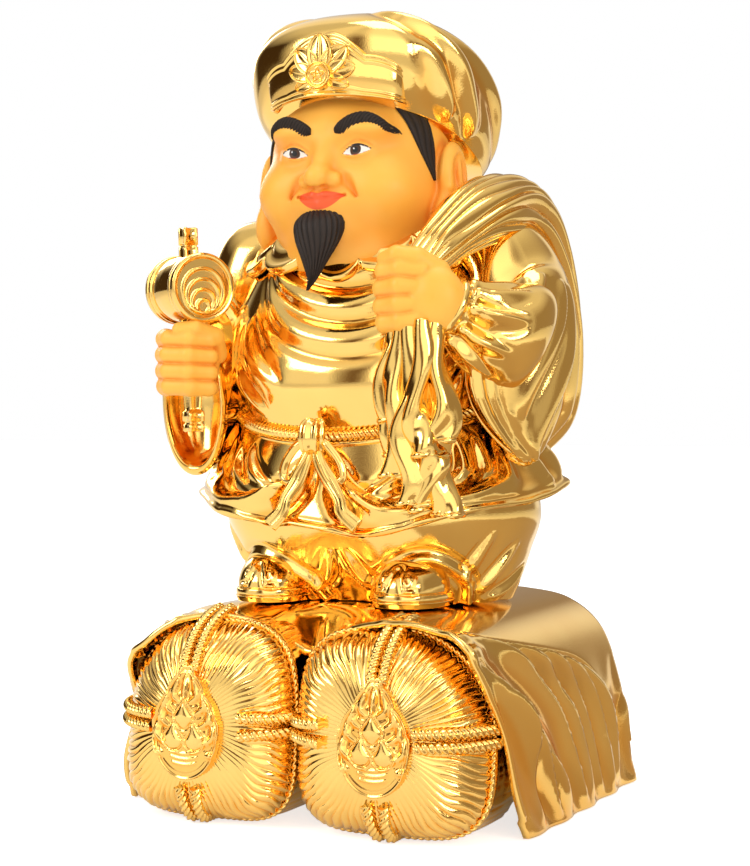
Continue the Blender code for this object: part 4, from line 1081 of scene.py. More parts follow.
def pleat(top_x, end_x, end, y, half, sway):
    """One hanging pleat: it sways more as it falls and ends in a curled lip."""
    t = np.linspace(0, 1, 34)
    top = 152 if top_x < 58 else 139
    fall = top - end
    x = top_x + (end_x - top_x) * step_up(t, 0, 1) + sway * t**0.7 * np.sin(t * fall / 8.5)
    z = top - fall * t
    wide = 4.2 + (half - 4.2) * t**0.8 + 1.2 * np.cos(t * fall / 8.5) * t
    deep = 5.0 + 2.6 * t + 1.0 * np.cos(t * fall / 11.0) * t
    twist = 0.75 * t * np.sin(t * fall / 10.0 + top_x)
    rows = [((a, y - 1.5 * math.sin(3 * s), c), (w * math.cos(k), w * math.sin(k), 0),
             (-d * math.sin(k), d * math.cos(k), 0))
            for a, c, w, d, k, s in zip(x, z, wide, deep, twist, t)]
    lip = [(1.10, -0.6), (1.02, -1.6), (0.84, -0.4), (0.66, 3.0), (0.35, 6.0)]
    (last_x, last_y, last_z), side, front = rows[-1]
    for shrink, rise in lip:
        rows.append(((last_x, last_y, last_z + rise), tuple(np.array(side) * shrink),
                     tuple(np.array(front) * shrink)))
    grid = tube_grid(rows, 56, 84, 2.0)
    turn = np.arange(56) / 56 * math.tau
    ripple = np.sin(3 * turn[None] + np.linspace(0, 12, 84)[:, None]) * np.linspace(0, 1.3, 84)[:, None]
    return closed_tube("pleat", standing(grid + grid_normals(grid) * ripple[..., None]))


def sack_tail():
    """The loose mouth of the sack, which hangs under the fist in swaying pleats."""
    return golden(joined("sack_tail_cast", [pleat(*sizes) for sizes in PLEATS]), None, "sack_tail")


# ---------------------------------------------------------------- mallet


FIST = np.array([-69.0, -60.0, 120.0])
LEAN = math.radians(-2)
UP_HANDLE = np.array([math.sin(LEAN), 0, math.cos(LEAN)])
DRUM_AXIS = np.array([math.sin(math.radians(57)), -math.cos(math.radians(57)), 0])


def along_handle(rows, around, power):
    """A bar up the handle; a row is the distance over the fist's middle and the half side."""
    side = np.cross(UP_HANDLE, DRUM_AXIS)
    parts = [(FIST + UP_HANDLE * t, DRUM_AXIS * a, side * a) for t, a in rows]
    points = np.array([np.concatenate(part) for part in parts])
    turn = np.arange(around) / around * math.tau
    first = np.sign(np.cos(turn)) * np.abs(np.cos(turn)) ** (2 / power)
    second = np.sign(np.sin(turn)) * np.abs(np.sin(turn)) ** (2 / power)
    return (points[:, None, 0:3] + points[:, None, 3:6] * first[None, :, None]
            + points[:, None, 6:9] * second[None, :, None])


def mallet():
    rows = [(-34.8, 3.6), (-34.2, 4.3), (-31.0, 4.3), (-30.6, 3.6), (-29.6, 3.6), (-29.2, 4.5), (-24.6, 4.5),
            (-24.0, 3.4), (-22.6, 3.3), (-16.4, 3.9), (16.8, 3.9), (17.0, 5.6), (17.6, 5.9), (18.8, 5.9),
            (19.3, 5.4), (19.6, 4.0), (56.0, 4.0), (58.0, 4.0), (58.3, 3.5), (58.9, 3.5), (59.2, 4.0),
            (67.2, 4.0), (67.9, 3.4)]
    grid = along_handle(rows, 64, 7)
    turn = np.arange(64) / 64 * math.tau
    groove = 0.55 * np.maximum(bump(np.abs(np.cos(turn)), 1, 0.03), bump(np.abs(np.sin(turn)), 1, 0.03))
    grid = grid - grid_normals(grid) * groove[None, :, None]
    golden(closed_tube("mallet_handle_cast", standing(grid)), None, "mallet_handle", body="mallet")

    around = 132
    turn = np.arange(around) / around * math.tau
    high = np.array([0.0, 0.0, 1.0])
    side = np.cross(DRUM_AXIS, high)
    profile = [(-16.0, 15.0), (-16.4, 16.2), (-15.6, 17.2), (-13.2, 17.4), (-12.8, 16.4), (-12.0, 16.3),
               (-11.6, 17.2), (-10.0, 17.2), (-9.6, 16.2), (-5, 16.7), (0, 16.9), (5, 16.7), (9.6, 16.2),
               (10.0, 17.2), (11.6, 17.2), (12.0, 16.3), (12.8, 16.4), (13.2, 17.4), (15.6, 17.2),
               (16.4, 16.2), (16.2, 15.0), (15.2, 14.4)]
    middle = FIST + UP_HANDLE * 37.0
    fine = []
    for (t0, r0), (t1, r1) in zip(profile, profile[1:]):
        fine += [(t0 + (t1 - t0) * s, r0 + (r1 - r0) * s) for s in (0, 0.25, 0.5, 0.75)]
    fine.append(profile[-1])
    rings = [middle + DRUM_AXIS * t + r * (np.cos(turn)[:, None] * side + np.sin(turn)[:, None] * high)
             for t, r in fine]
    relief_rows = []
    for end, order in ((-1, np.linspace(0.0, 14.4, 22)), (1, np.linspace(14.4, 0.05, 56))):
        for reach in order:
            x, z = reach * np.cos(turn), reach * np.sin(turn)
            arcs = sum(0.95 * bump(np.hypot(x, z + 13.0 - size) - size, 0, 0.55)
                       for size in (11.2, 8.6, 6.0, 3.4))
            level = (15.0 + arcs) * end
            relief_rows.append((end,
                                middle + DRUM_AXIS * level[:, None] + x[:, None] * side + z[:, None] * high))
    back_face = [row for end, row in relief_rows if end < 0]
    front_face = [row for end, row in relief_rows if end > 0]
    grid = back_face[1:] + rings + front_face
    thing = closed_tube("mallet_drum_cast", standing(np.stack(grid)))
    return golden(thing, None, "mallet_drum", body="mallet")


# ---------------------------------------------------------------- cap


CAP_BAND = [(238, -3, 47.0, 46.5, -0.25), (248, -3, 49.0, 49.0, -0.25), (260, -2, 48.8, 48.8, -0.25),
            (274, -1, 44, 44, -0.25)]
CAP_CROWN = [(229, 14, 51.5, 52, -0.34), (238, 13, 56.5, 57.5, -0.33), (250, 12.5, 58.5, 61, -0.31),
             (264, 12, 58.5, 60.5, -0.27), (278, 10, 50.5, 52, -0.21), (290, 6, 34.5, 35, -0.12),
             (296, 4, 15, 15, -0.04)]


def cap_crown():
    """The soft crown, which sinks to the back left in broad creases."""
    grid = stack_grid(CAP_CROWN, 320, 140, 2.45)
    folds = [
        ([(0.82, 0.86), (0.86, 0.76), (0.91, 0.62), (0.95, 0.44), (0.98, 0.22), (0.99, 0.06)], 6, 4.2, -0.35,
         0.5),
        ([(0.84, 0.93), (0.93, 0.82), (1.00, 0.66), (1.06, 0.44), (1.10, 0.20)], 8, 3.6, -0.3, 0.5),
        ([(0.90, 0.97), (1.06, 0.86), (1.14, 0.66), (1.20, 0.40)], 9, 3.0, -0.3, 0.5),
        ([(0.88, 0.56), (0.915, 0.40), (0.93, 0.20), (0.935, 0.04)], 4.5, 2.4, 0.3, 0.5),
        ([(0.66, 0.88), (0.60, 0.74), (0.55, 0.54), (0.52, 0.30)], 8, 3.4, 0.35, 0.5),
        ([(0.58, 0.94), (0.46, 0.78), (0.40, 0.52), (0.37, 0.26)], 9, 3.0, 0.3, 0.5),
        ([(0.25, 0.85), (0.26, 0.55), (0.28, 0.2)], 10, 2.8, 0.2, 0.5),
    ]
    grid, lift = fold_grid(grid, folds)
    grid[..., 0] -= 2.5 * step_up(-grid[..., 0], 10, 50)
    return golden(closed_tube("cap_crown_cast", standing(grid)), lift, "cap_crown")


def cap_band():
    """The turned-up band: a wavy upper edge that rises to a peak behind the badge, and doubled borders."""
    around, along = 400, 44
    tall = stack_grid(CAP_BAND, around, 240, 2.1)
    share = np.arange(around) / around
    away = np.abs((share - 0.75 + 0.5) % 1 - 0.5)
    top = (0.52 + 0.07 * np.abs(np.sin(away * math.pi * 15)) ** 0.7
           + 0.34 * bump(away, 0, 0.055) - 0.12 * step_up(away, 0.08, 0.2))
    line = np.linspace(0, 1, along)[:, None]
    at = (0.02 + (top[None] - 0.02) * line) * 239
    i = np.clip(np.floor(at).astype(int), 0, 238)
    t = (at - i)[..., None]
    column = np.arange(around)[None]
    grid = tall[i, column] * (1 - t) + tall[i + 1, column] * t
    normals = grid_normals(grid)
    border = (1.3 * bump(line, 0.05, 0.035) + 0.9 * bump(line, 0.16, 0.028) + 1.3 * bump(line, 0.95, 0.035)
              + 0.9 * bump(line, 0.83, 0.028))
    fade = 1 - step_up(away, 0.115, 0.155)[None]
    outer = grid + normals * ((2.2 + border) * fade - 3.5 * (1 - fade))[..., None]
    thing = ring_solid("cap_band_cast", standing(outer),
                       standing(grid - normals * (1.0 + 4.5 * (1 - fade))[..., None]))
    return golden(thing, border - 0.5 + 0 * outer[..., 0], "cap_band")


def petal(turn, length, width, lean):
    """One lotus petal: a broad spoon with a raised edge, a spine and a pointed tip."""
    along, across = 34, 27
    t = np.linspace(0.0, 1.0, along)[:, None]
    s = np.linspace(-1, 1, across)[None]
    half = width * np.sin(math.pi * np.clip(t, 0.001, 0.999) ** 1.15) ** 0.55
    x, z = s * half, t * length + 0 * s
    height = (1.8 + 1.3 * t - 1.2 * t**3 - 0.9 * (1 - s**2) * t
              + 0.9 * bump(np.abs(s), 0.86, 0.10) + 0.5 * bump(s, 0, 0.14) + lean)
    height = height * (1 - 0.8 * step_up(np.abs(s), 0.93, 1.0))
    c, sn = math.cos(turn), math.sin(turn)
    px, pz = x * sn + z * c, -x * c + z * sn
    base = -52.4 + px**2 / 135
    front = np.stack([px, base - height, 259.5 + pz], -1)
    back = np.stack([px, base + 1.5, 259.5 + pz], -1)
    return sheet_solid("petal", standing(front), standing(back))


def medallion():
    """A round badge with a plain rosette, held in an open lotus with a curl at either side."""
    parts = []
    for degrees, length, width, lean in ((200, 15.5, 4.2, -0.5), (-20, 15.5, 4.2, -0.5),
                                         (167, 18.5, 5.4, 0.0), (13, 18.5, 5.4, 0.0), (134, 19.5, 6.2, 0.5),
                                         (46, 19.5, 6.2, 0.5), (90, 20.5, 7.2, 1.0)):
        parts.append(petal(math.radians(degrees), length, width, lean))
    around, rings = 180, 60
    turn = np.arange(around) / around * math.tau
    reach = np.linspace(0.1, 7.2, rings)[:, None]
    x, z = reach * np.cos(turn), reach * np.sin(turn)
    height = 4.6 + 1.2 * bump(reach, 6.3, 0.5) + 0.6 * bump(reach, 4.9, 0.3) - 3.0 * step_up(reach, 6.8, 7.2)
    rosette = 2.5 + 0.8 * np.cos(5 * turn - math.pi / 2)
    height = height + 1.1 * bump(reach, rosette, 0.4) + 0.9 * bump(reach, 0, 0.8)
    base = -52.4 + x**2 / 110
    front = np.stack([x, base - height, 259.5 + z], -1)
    back = np.stack([x[-1:], base[-1:] + 2.0, 259.5 + z[-1:]], -1)
    parts.append(closed_tube("disc", standing(np.concatenate([front, back]))))
    return golden(joined("cap_medallion_cast", parts), None, "cap_medallion")


# ---------------------------------------------------------------- head and hands


def egg(p, middle, half):
    """About how far points are from an ellipsoid, negative inside."""
    q, half = p - np.array(middle, float), np.array(half, float)
    near = np.linalg.norm(q / half, axis=1)
    steep = np.linalg.norm(q / np.square(half), axis=1)
    return near * (near - 1) / np.maximum(steep, 1e-6)


def rod(p, a, b, at_a, at_b):
    """How far points are from a tapered rod with round ends."""
    a, b = np.array(a, float), np.array(b, float)
    run = b - a
    share = np.clip((p - a) @ run / (run @ run), 0, 1)
    return np.linalg.norm(p - a - share[:, None] * run, axis=1) - (at_a + (at_b - at_a) * share)


def melt(a, b, reach):
    """Two forms joined with a soft fillet."""
    h = np.clip(0.5 + 0.5 * (b - a) / reach, 0, 1)
    return b + (a - b) * h - reach * h * (1 - h)


def dent(a, b, reach):
    """The first form with the second pressed into it."""
    return -melt(-a, b, reach)


def finger(p, path, sizes):
    total = rod(p, path[0], path[1], sizes[0], sizes[1])
    for a, b, at_a, at_b in zip(path[1:], path[2:], sizes[1:], sizes[2:]):
        total = melt(total, rod(p, a, b, at_a, at_b), 1.0)
    return total


def right_fist(points):
    """Four fingers round the handle, the thumb over them, and a way through for the handle."""
    p = points - FIST
    side = np.cross(UP_HANDLE, DRUM_AXIS)
    body = melt(egg(p, (-1, 4, 0), (12.5, 9.5, 15.5)), rod(p, (-2, 8, -2), (-13, 34, -4), 10.5, 11.5), 6)
    for high, out in ((12.0, 0.0), (4.0, 0.9), (-4.0, 0.6), (-11.6, -0.6)):
        path = [(-9, 5, high), (-13 - out * 0.5, -3.5, high), (-6, -12 - out, high - 0.3),
                (6, -12.6 - out, high - 0.8), (12.4 + out * 0.4, -4.5, high - 1.2), (9, 4, high - 1)]
        body = melt(body, finger(p, path, (4.6, 5.0, 4.4, 4.6, 4.1, 3.9)), 0.7)
    thumb = [(9, 8, 5), (13, -1, 12.5), (8, -10.5, 16.4), (1, -13.5, 16.0)]
    body = melt(body, finger(p, thumb, (6.0, 5.2, 4.3, 3.8)), 0.8)
    bore = np.maximum(np.abs(p @ DRUM_AXIS), np.abs(p @ side)) - 5.0
    return np.maximum(body, -bore)


def left_fist(points):
    """A closed hand seen from its back, with the fingers curled in at the figure's middle."""
    p = points - np.array([57.0, -60.0, 150.0])
    body = melt(egg(p, (5, -2, -1), (15.5, 10.5, 16.5)), rod(p, (9, 3, -3), (24, 20, -15), 11.0, 11.5), 8)
    for high, out in ((12.6, -0.4), (4.4, 0.8), (-4.0, 0.6), (-11.8, -0.8)):
        path = [(3, -7, high * 0.92), (-7, -9.4 - out, high), (-16.5 - out, -7.5, high - 0.6),
                (-20 - out, 0.5, high - 1.4), (-13, 7, high - 1.4)]
        body = melt(body, finger(p, path, (4.6, 5.4, 4.6, 4.3, 3.8)), 0.8)
    thumb = [(8, 0, 11), (0, -6, 17.5), (-9, -9, 19.2), (-16, -7, 17.4)]
    return melt(body, finger(p, thumb, (6.4, 5.4, 4.6, 4.0)), 0.9)


HEAD_Y, HEAD_Z = -8.0, 208.0
HEAD_ROWS = smooth_rows([(-50, -6, 13, 11), (-42, -5, 28, 24), (-28, -2, 41, 36), (-10, 0, 46, 42),
                         (10, 0, 46, 43), (30, 2, 43.5, 42), (46, 4, 33, 33), (55, 5, 16, 16)], 160)
EYE_X, EYE_Z = 17.0, 222.5
MOUTH_Z = 199.0


def head_outline(z):
    """The y of the middle, the half width and the half depth of the head at heights from its middle."""
    return [np.interp(z, HEAD_ROWS[:, 0], HEAD_ROWS[:, column]) for column in (1, 2, 3)]


def eye_shape(x, z):
    """Distances in the plane of the face: into the opening, from its upper edge and from its lower edge."""
    dx = np.abs(x) - EYE_X
    dz = z - EYE_Z - 0.10 * dx
    arc = np.clip(1 - (dx / 7.4) ** 2, -1, 1)
    high, low = 2.9 * arc, -1.7 * arc
    return np.minimum(high - dz, dz - low), dz - high, dz - low, dx, dz


def lip_shape(x, z):
    """How far into the painted lips a point is."""
    lift = 0.012 * x**2
    arc = np.clip(1 - (x / 12.5) ** 2, -1, 1)
    high = MOUTH_Z + lift + 4.1 * np.sign(arc) * np.abs(arc) ** 0.8 - 1.0 * bump(x, 0, 2.3)
    low = MOUTH_Z + lift - 5.0 * np.sign(arc) * np.abs(arc) ** 0.9
    return np.minimum(high - z, z - low)


def head_form(p):
    x, y, z = p[:, 0], p[:, 1] - HEAD_Y, p[:, 2] - HEAD_Z
    middle, wide, deep = head_outline(z)
    form = (np.hypot(x / wide, (y - middle) / deep) - 1) * np.minimum(wide, deep)
    form = np.maximum(form, np.abs(z - 2.5) - 52.0)
    form = melt(form, rod(p, (0, 4, 152), (0, 6, 190), 22, 21), 8)
    both = np.abs(p[:, 0])
    m = np.column_stack([both, p[:, 1], p[:, 2]])
    for middle, half, reach in (((24, -34, 204), (18, 17, 16), 10), ((0, -24, 172), (31, 24, 12), 10),
                                ((17, -42, 234), (15, 9.5, 5.5), 8), ((0, -42, 187), (15, 13, 10), 9),
                                ((0, -43, 199), (17, 12.5, 9), 8)):
        form = melt(form, egg(m, middle, half), reach)
    form = dent(form, egg(m, (EYE_X, -54.5, EYE_Z), (11, 6.5, 6.5)), 5)
    form = melt(form, rod(m, (0, -46.5, 228), (0, -55.5, 212), 3.2, 5.0), 6)
    form = melt(form, egg(m, (0, -57.5, 209.6), (6.4, 6.2, 5.4)), 3.5)
    form = melt(form, egg(m, (7.4, -52.8, 208.4), (4.4, 5.0, 4.0)), 2.2)
    form = dent(form, egg(m, (3.5, -57.2, 204.6), (1.8, 2.4, 1.5)), 1.2)
    form = dent(form, rod(m, (12.5, -52, 209), (17.5, -49.5, 201), 0.8, 0.5), 4)
    form = dent(form, rod(m, (0, -58.5, 205.6), (0, -57.5, 202.6), 0.9, 0.9), 2)
    form = melt(form, rod(m, (10.6, -50.6, MOUTH_Z + 1.2), (3.0, -54.4, MOUTH_Z + 1.9), 1.2, 2.3), 1.6)
    form = melt(form, rod(m, (0, -54.4, MOUTH_Z + 1.4), (3.0, -54.4, MOUTH_Z + 1.9), 2.1, 2.3), 1.6)
    form = melt(form, rod(m, (8.6, -51.0, MOUTH_Z - 0.9), (0, -54.0, MOUTH_Z - 2.3), 1.3, 2.9), 1.6)
    form = dent(form, rod(m, (12.8, -52.0, MOUTH_Z + 1.9), (5, -56.4, MOUTH_Z + 0.3), 0.8, 0.7), 0.9)
    form = dent(form, rod(m, (5, -56.4, MOUTH_Z + 0.3), (0, -57.4, MOUTH_Z - 0.3), 0.7, 0.7), 0.9)
    form = melt(form, egg(m, (EYE_X, -41.6, EYE_Z + 0.4), (9.6, 8.4, 7.0)), 2.0)
    inside, above, below, dx, _ = eye_shape(p[:, 0], p[:, 2])
    front = step_up(-p[:, 1], 34, 40)
    form = form + front * 0.8 * step_up(inside, -0.1, 0.7)
    form = form + front * 0.45 * bump(above, 2.3, 0.5) * step_up(-np.abs(dx), -9.0, -6.5)
    form = form - front * 0.35 * bump(below, -0.7, 0.6) * step_up(-np.abs(dx), -8.0, -6.0)
    ear = egg(m, (50.0, -6, 212), (6.4, 12.0, 18.5))
    ear = dent(ear, egg(m, (57.5, -8.0, 213.5), (6.6, 7.8, 12.5)), 1.0)
    ear = melt(ear, rod(m, (52.5, -5.0, 222), (53.0, -2.5, 206), 1.4, 1.9), 1.2)
    ear = melt(ear, rod(m, (51.5, -15.0, 214), (52.0, -15.5, 207), 1.8, 2.4), 1.2)
    ear = melt(ear, egg(m, (49.5, -13.5, 191), (6.8, 9.0, 13.0)), 5)
    return melt(form, ear, 2.5)


def crease(form, points, normals, reach=3.0):
    """How shut in each point of a surface is, from 0 in the open to 1 in a groove."""
    return np.clip((reach - form(points + normals * reach)) / reach * 1.6, 0, 1)


def mixed(tree, factor, first, second):
    """One colour over another; factor is a socket and a colour is a socket or three numbers."""
    mix = wired(tree, "ShaderNodeMix", {"Factor": factor}, data_type="RGBA")
    for name, colour in (("A", first), ("B", second)):
        if isinstance(colour, bpy.types.NodeSocket):
            tree.links.new(colour, mix.inputs[name])
        else:
            mix.inputs[name].default_value = (*colour, 1)
    return mix.outputs["Result"]


def brushed_edge(tree, name, soft=0.14):
    """1 inside a painted shape and 0 outside it, from the distance kept on the points."""
    distance = wired(tree, "ShaderNodeAttribute", attribute_name=name)
    edge = wired(tree, "ShaderNodeMapRange",
                 {"Value": distance.outputs["Fac"], "From Min": -soft, "From Max": soft})
    return edge.outputs["Result"]


# What is painted on the face, in order, and each colour.
PAINTED_MARKS = (
    ("lips", (0.90, 0.115, 0.030)),
    ("eye", (0.86, 0.82, 0.74)),
    ("iris", (0.055, 0.022, 0.010)),
    ("pupil", (0.006, 0.005, 0.005)),
    ("glint", (0.9, 0.9, 0.9)),
    ("rim", (0.50, 0.07, 0.015)),
    ("lash", (0.012, 0.008, 0.006)),
)


def skin_material(name, painted):
    """Sand-matte gilt lacquer with painted shade, deeper orange in the creases; the eyes and lips are
    painted on the head.
    """
    material, tree, shader = base_material(name, 0.0)
    handling = handled(tree, Smudge_Size=45.0, Grain_Size=2600.0, Smooth=0.40, Worn=0.52)
    # Painted shade: the colour turns deeper orange in the creases.
    fold = wired(tree, "ShaderNodeAttribute", attribute_name="hollow_shade")
    cloud = wired(tree, "ShaderNodeMapRange",
                  {"Value": handling.outputs["Cloud"], "From Min": 0.3, "From Max": 0.7})
    ground = mixed(tree, cloud.outputs["Result"], (0.95, 0.45, 0.060), (0.98, 0.50, 0.080))
    colour = mixed(tree, fold.outputs["Fac"], ground, (0.84, 0.22, 0.012))
    marks = PAINTED_MARKS if painted else ()
    for mark, shade in marks:
        colour = mixed(tree, brushed_edge(tree, mark), colour, shade)
    tree.links.new(colour, shader.inputs["Base Color"])
    tree.links.new(handling.outputs["Roughness"], shader.inputs["Roughness"])
    shader.inputs["Specular IOR Level"].default_value = 0.35
    raised(tree, handling.outputs["Height"], shader, 0.10, 0.0003)
    return material


def hair_material():
    """Black-brown paint with a little sheen, with painted shade that makes it darker in the grooves than on
    the crests.
    """
    material, tree, shader = base_material("black_hair", 0.0)
    handling = handled(tree, Smudge_Size=70.0, Grain_Size=2200.0, Smooth=0.48, Worn=0.68)
    # Painted shade: the hair is darker down in the grooves between the strands.
    groove = wired(tree, "ShaderNodeAttribute", attribute_name="hollow_shade")
    colour = mixed(tree, groove.outputs["Fac"], (0.030, 0.020, 0.015), (0.006, 0.004, 0.003))
    tree.links.new(colour, shader.inputs["Base Color"])
    tree.links.new(handling.outputs["Roughness"], shader.inputs["Roughness"])
    shader.inputs["Specular IOR Level"].default_value = 0.22
    raised(tree, handling.outputs["Height"], shader, 0.20, 0.0004)
    return material


SKIN = skin_material("matte_gilt_skin", False)
FACE = skin_material("matte_gilt_skin_painted", True)
HAIR = hair_material()


def lacquered(name, material, form, low, high, step, *nodes):
    """A skin-coloured piece from its form."""
    points, normals, faces = carve(form, low, high, step)
    thing = outward_faces(mesh_object(name, standing(points), faces))
    # Painted shade: how shut in each point is, stored so the skin turns deeper orange in creases and under
    # overhangs.
    paint(thing, "hollow_shade", crease(form, points, normals) * 0.6)
    settle(thing, material, "matte_gilt_skin", "statue", *nodes)
    return thing, points


def head():
    thing, p = lacquered("head_cast", FACE, head_form, (-60, -68, 146), (60, 44, 266), 0.92, "head")
    front = p[:, 1] < -34
    inside, above, below, dx, dz = eye_shape(p[:, 0], p[:, 2])
    look = np.hypot(dx + 0.3, dz - 0.7)
    shine = np.hypot(p[:, 0] - np.sign(p[:, 0]) * EYE_X + 1.0, dz - 1.5)
    open_eye = np.minimum(inside + 0.1, 3)
    marks = {
        "eye": open_eye,
        "iris": np.minimum(3.0 - look, open_eye),
        "pupil": np.minimum(1.5 - look, open_eye),
        "glint": np.minimum(0.55 - shine, open_eye),
        "lash": 0.62 - 0.035 * np.abs(dx) - np.abs(above - 0.25) - 3 * np.clip(np.abs(dx) - 7.7, 0, 9),
        "rim": 0.26 - np.abs(below + 0.15) - 3 * np.clip(np.abs(dx) - 6.4, 0, 9),
        "lips": lip_shape(p[:, 0], p[:, 2]),
    }
    for name, distance in marks.items():
        paint(thing, name, np.where(front, np.clip(distance, -4, 4), -4))


def hands():
    lacquered("hand_right_cast", SKIN, right_fist, (-100, -84, 98), (-48, -14, 144), 0.7, "hand_right")
    lacquered("hand_left_cast", SKIN, left_fist, (26, -84, 114), (102, -22, 178), 0.75, "hand_left")


def on_face(x, z):
    """The y of the head's front at x and z."""
    x, z = np.broadcast_arrays(np.asarray(x, float), np.asarray(z, float))
    out, back = np.full(x.shape, -75.0), np.full(x.shape, -25.0)
    for _ in range(22):
        middle = (out + back) / 2
        free = head_form(np.column_stack([x, middle, z])) > 0
        out, back = np.where(free, middle, out), np.where(free, back, middle)
    return (out + back) / 2


def strands(thing_name, grid, count, depth, lean):
    """Cuts hair grooves along a patch, paints shade into the grooves and gives it the hair paint."""
    along, around = grid.shape[:2]
    u = np.arange(around)[None] / around
    v = np.linspace(0, 1, along)[:, None]
    phase = np.abs(np.sin(np.pi * (count * u + lean * v + 0.18 * np.sin(9 * v + 5 * u)))) ** 0.8
    second = np.abs(np.sin(np.pi * (count * 2.3 * u + lean * 1.6 * v)))
    lift = (phase * 0.75 + second * 0.25 - 0.6) * depth * np.sin(np.pi * np.clip(v, 0.02, 0.98)) ** 0.35
    grid = grid + grid_normals(grid) * lift[..., None]
    thing = closed_tube(thing_name, standing(grid))
    # Painted shade: darker down in the grooves between the strands.
    paint(thing, "hollow_shade", np.clip(0.9 - (phase * np.ones_like(lift)).ravel() * 1.2, 0, 1))
    return settle(thing, HAIR, "black_hair")


def brow(side):
    mirror = -1 if side == "right" else 1
    line = smooth_rows([(6.5, 233.0, 1.6), (9.5, 234.0, 3.2), (16, 236.2, 4.2), (23, 237.0, 4.2),
                        (29, 235.6, 3.0), (33, 233.0, 1.6), (35, 231.4, 0.3)], 60)
    depth = on_face(line[:, 0], line[:, 1])
    rows = [((mirror * x, y + 0.4, z), (0, -0.2 * h, h), (0, -1.5 if h > 1 else -0.5, 0))
            for (x, z, h), y in zip(line, depth)]
    return strands("brow_" + side, tube_grid(rows, 60, 130, 2.0), 9, 0.75, 22.0 * mirror)


def sideburn(side):
    """The pointed tuft in front of an ear."""
    mirror = -1 if side == "right" else 1
    line = smooth_rows([(-26, 252, 8.0), (-25, 243, 7.8), (-23.5, 232, 6.8), (-21, 221, 4.4),
                        (-18.0, 210, 0.5)], 50)
    rows = []
    for y, z, half in line:
        middle, wide, deep = head_outline(z - HEAD_Z)
        middle = middle + HEAD_Y
        x = wide * math.sqrt(max(1 - ((y - middle) / deep) ** 2, 0.05))
        out = np.array([x / wide**2, (y - middle) / deep**2, 0])
        out /= np.linalg.norm(out)
        flat = np.array([out[1], -out[0], 0.0])
        place = np.array([x, y, z])
        turned = np.array([mirror, 1, 1])
        rows.append((place * turned, flat * half * turned, out * 1.3 * turned))
    return strands("sideburn_" + side, tube_grid(rows, 70, 100, 2.0), 9, 0.6, 1.5)


def goatee():
    """The short beard, combed down to a point."""
    rows = [(154.5, -59, 0.5, 0.5, 0), (160, -58.5, 2.2, 2.2, 0), (169, -57.5, 6.4, 4.8, 0),
            (179, -55.0, 11.4, 7.6, 0), (187, -53.0, 13.0, 8.6, 0), (192, -51.0, 10.5, 7.0, 0),
            (195.2, -50.0, 5.0, 3.6, 0)]
    grid = stack_grid(rows, 190, 120, 2.0)
    v = np.linspace(0, 1, 120)
    grid[..., 0] += (1.5 * np.sin(5.5 * v) * (1 - v) - 4.5 * (1 - v) ** 2)[:, None]
    thing = strands("goatee_hair", grid, 23, 1.1, 4.0)
    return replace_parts(thing, "goatee")


def plain_finish(name, colour, metallic, smooth, worn, strength):
    material, tree, shader = base_material(name, metallic)
    handling = handled(tree, Smudge_Size=40.0, Grain_Size=1500.0, Smooth=smooth, Worn=worn)
    darker = tuple(part * 0.7 for part in colour)
    tree.links.new(mixed(tree, handling.outputs["Cloud"], colour, darker), shader.inputs["Base Color"])
    tree.links.new(handling.outputs["Roughness"], shader.inputs["Roughness"])
    raised(tree, handling.outputs["Height"], shader, strength, 0.0005)
    return material


def hidden_pieces():
    """The pieces that stay as the solids have them: plate, felt, screws and dowel."""
    steel = plain_finish("steel_fastener", (0.55, 0.55, 0.57), 1.0, 0.22, 0.38, 0.1)
    board = plain_finish("black_board", (0.030, 0.030, 0.030), 0.0, 0.5, 0.75, 0.3)
    felt = plain_finish("brown_felt", (0.12, 0.05, 0.03), 0.0, 0.9, 1.0, 0.9)
    wood = plain_finish("dowel_wood", (0.60, 0.42, 0.24), 0.0, 0.5, 0.7, 0.3)
    for node, material in (("base_plate", board), ("base_felt", felt), ("foot_screw_right", steel),
                           ("foot_screw_left", steel), ("neck_dowel", wood)):
        solid = bpy.data.objects[node]
        solid.data.materials.clear()
        solid.data.materials.append(material)


# ---------------------------------------------------------------- light and camera


def panel(tree, direction, low, bearing, half):
    """A soft upright panel of the studio's walls: where it stands and half its width, in degrees."""
    turn = math.radians(bearing)
    towards = wired(tree, "ShaderNodeVectorMath", {0: direction, 1: (math.cos(turn), math.sin(turn), 0.0)},
                    operation="DOT_PRODUCT")
    parts = wired(tree, "ShaderNodeSeparateXYZ", {0: direction})
    level = wired(tree, "ShaderNodeMath", {0: parts.outputs["Z"], 1: parts.outputs["Z"]},
                  operation="MULTIPLY")
    flat = wired(tree, "ShaderNodeMath", {0: 1.0001, 1: level.outputs[0]}, operation="SUBTRACT")
    reach = wired(tree, "ShaderNodeMath", {0: flat.outputs[0]}, operation="SQRT")
    across = wired(tree, "ShaderNodeMath", {0: towards.outputs["Value"], 1: reach.outputs[0]},
                   operation="DIVIDE")
    inside = wired(tree, "ShaderNodeMapRange", {"Value": across.outputs[0],
                                                "From Min": math.cos(math.radians(half + 8)),
                                                "From Max": math.cos(math.radians(max(half - 8, 0)))})
    return wired(tree, "ShaderNodeMath", {0: inside.outputs["Result"], 1: low},
                 operation="MULTIPLY").outputs[0]


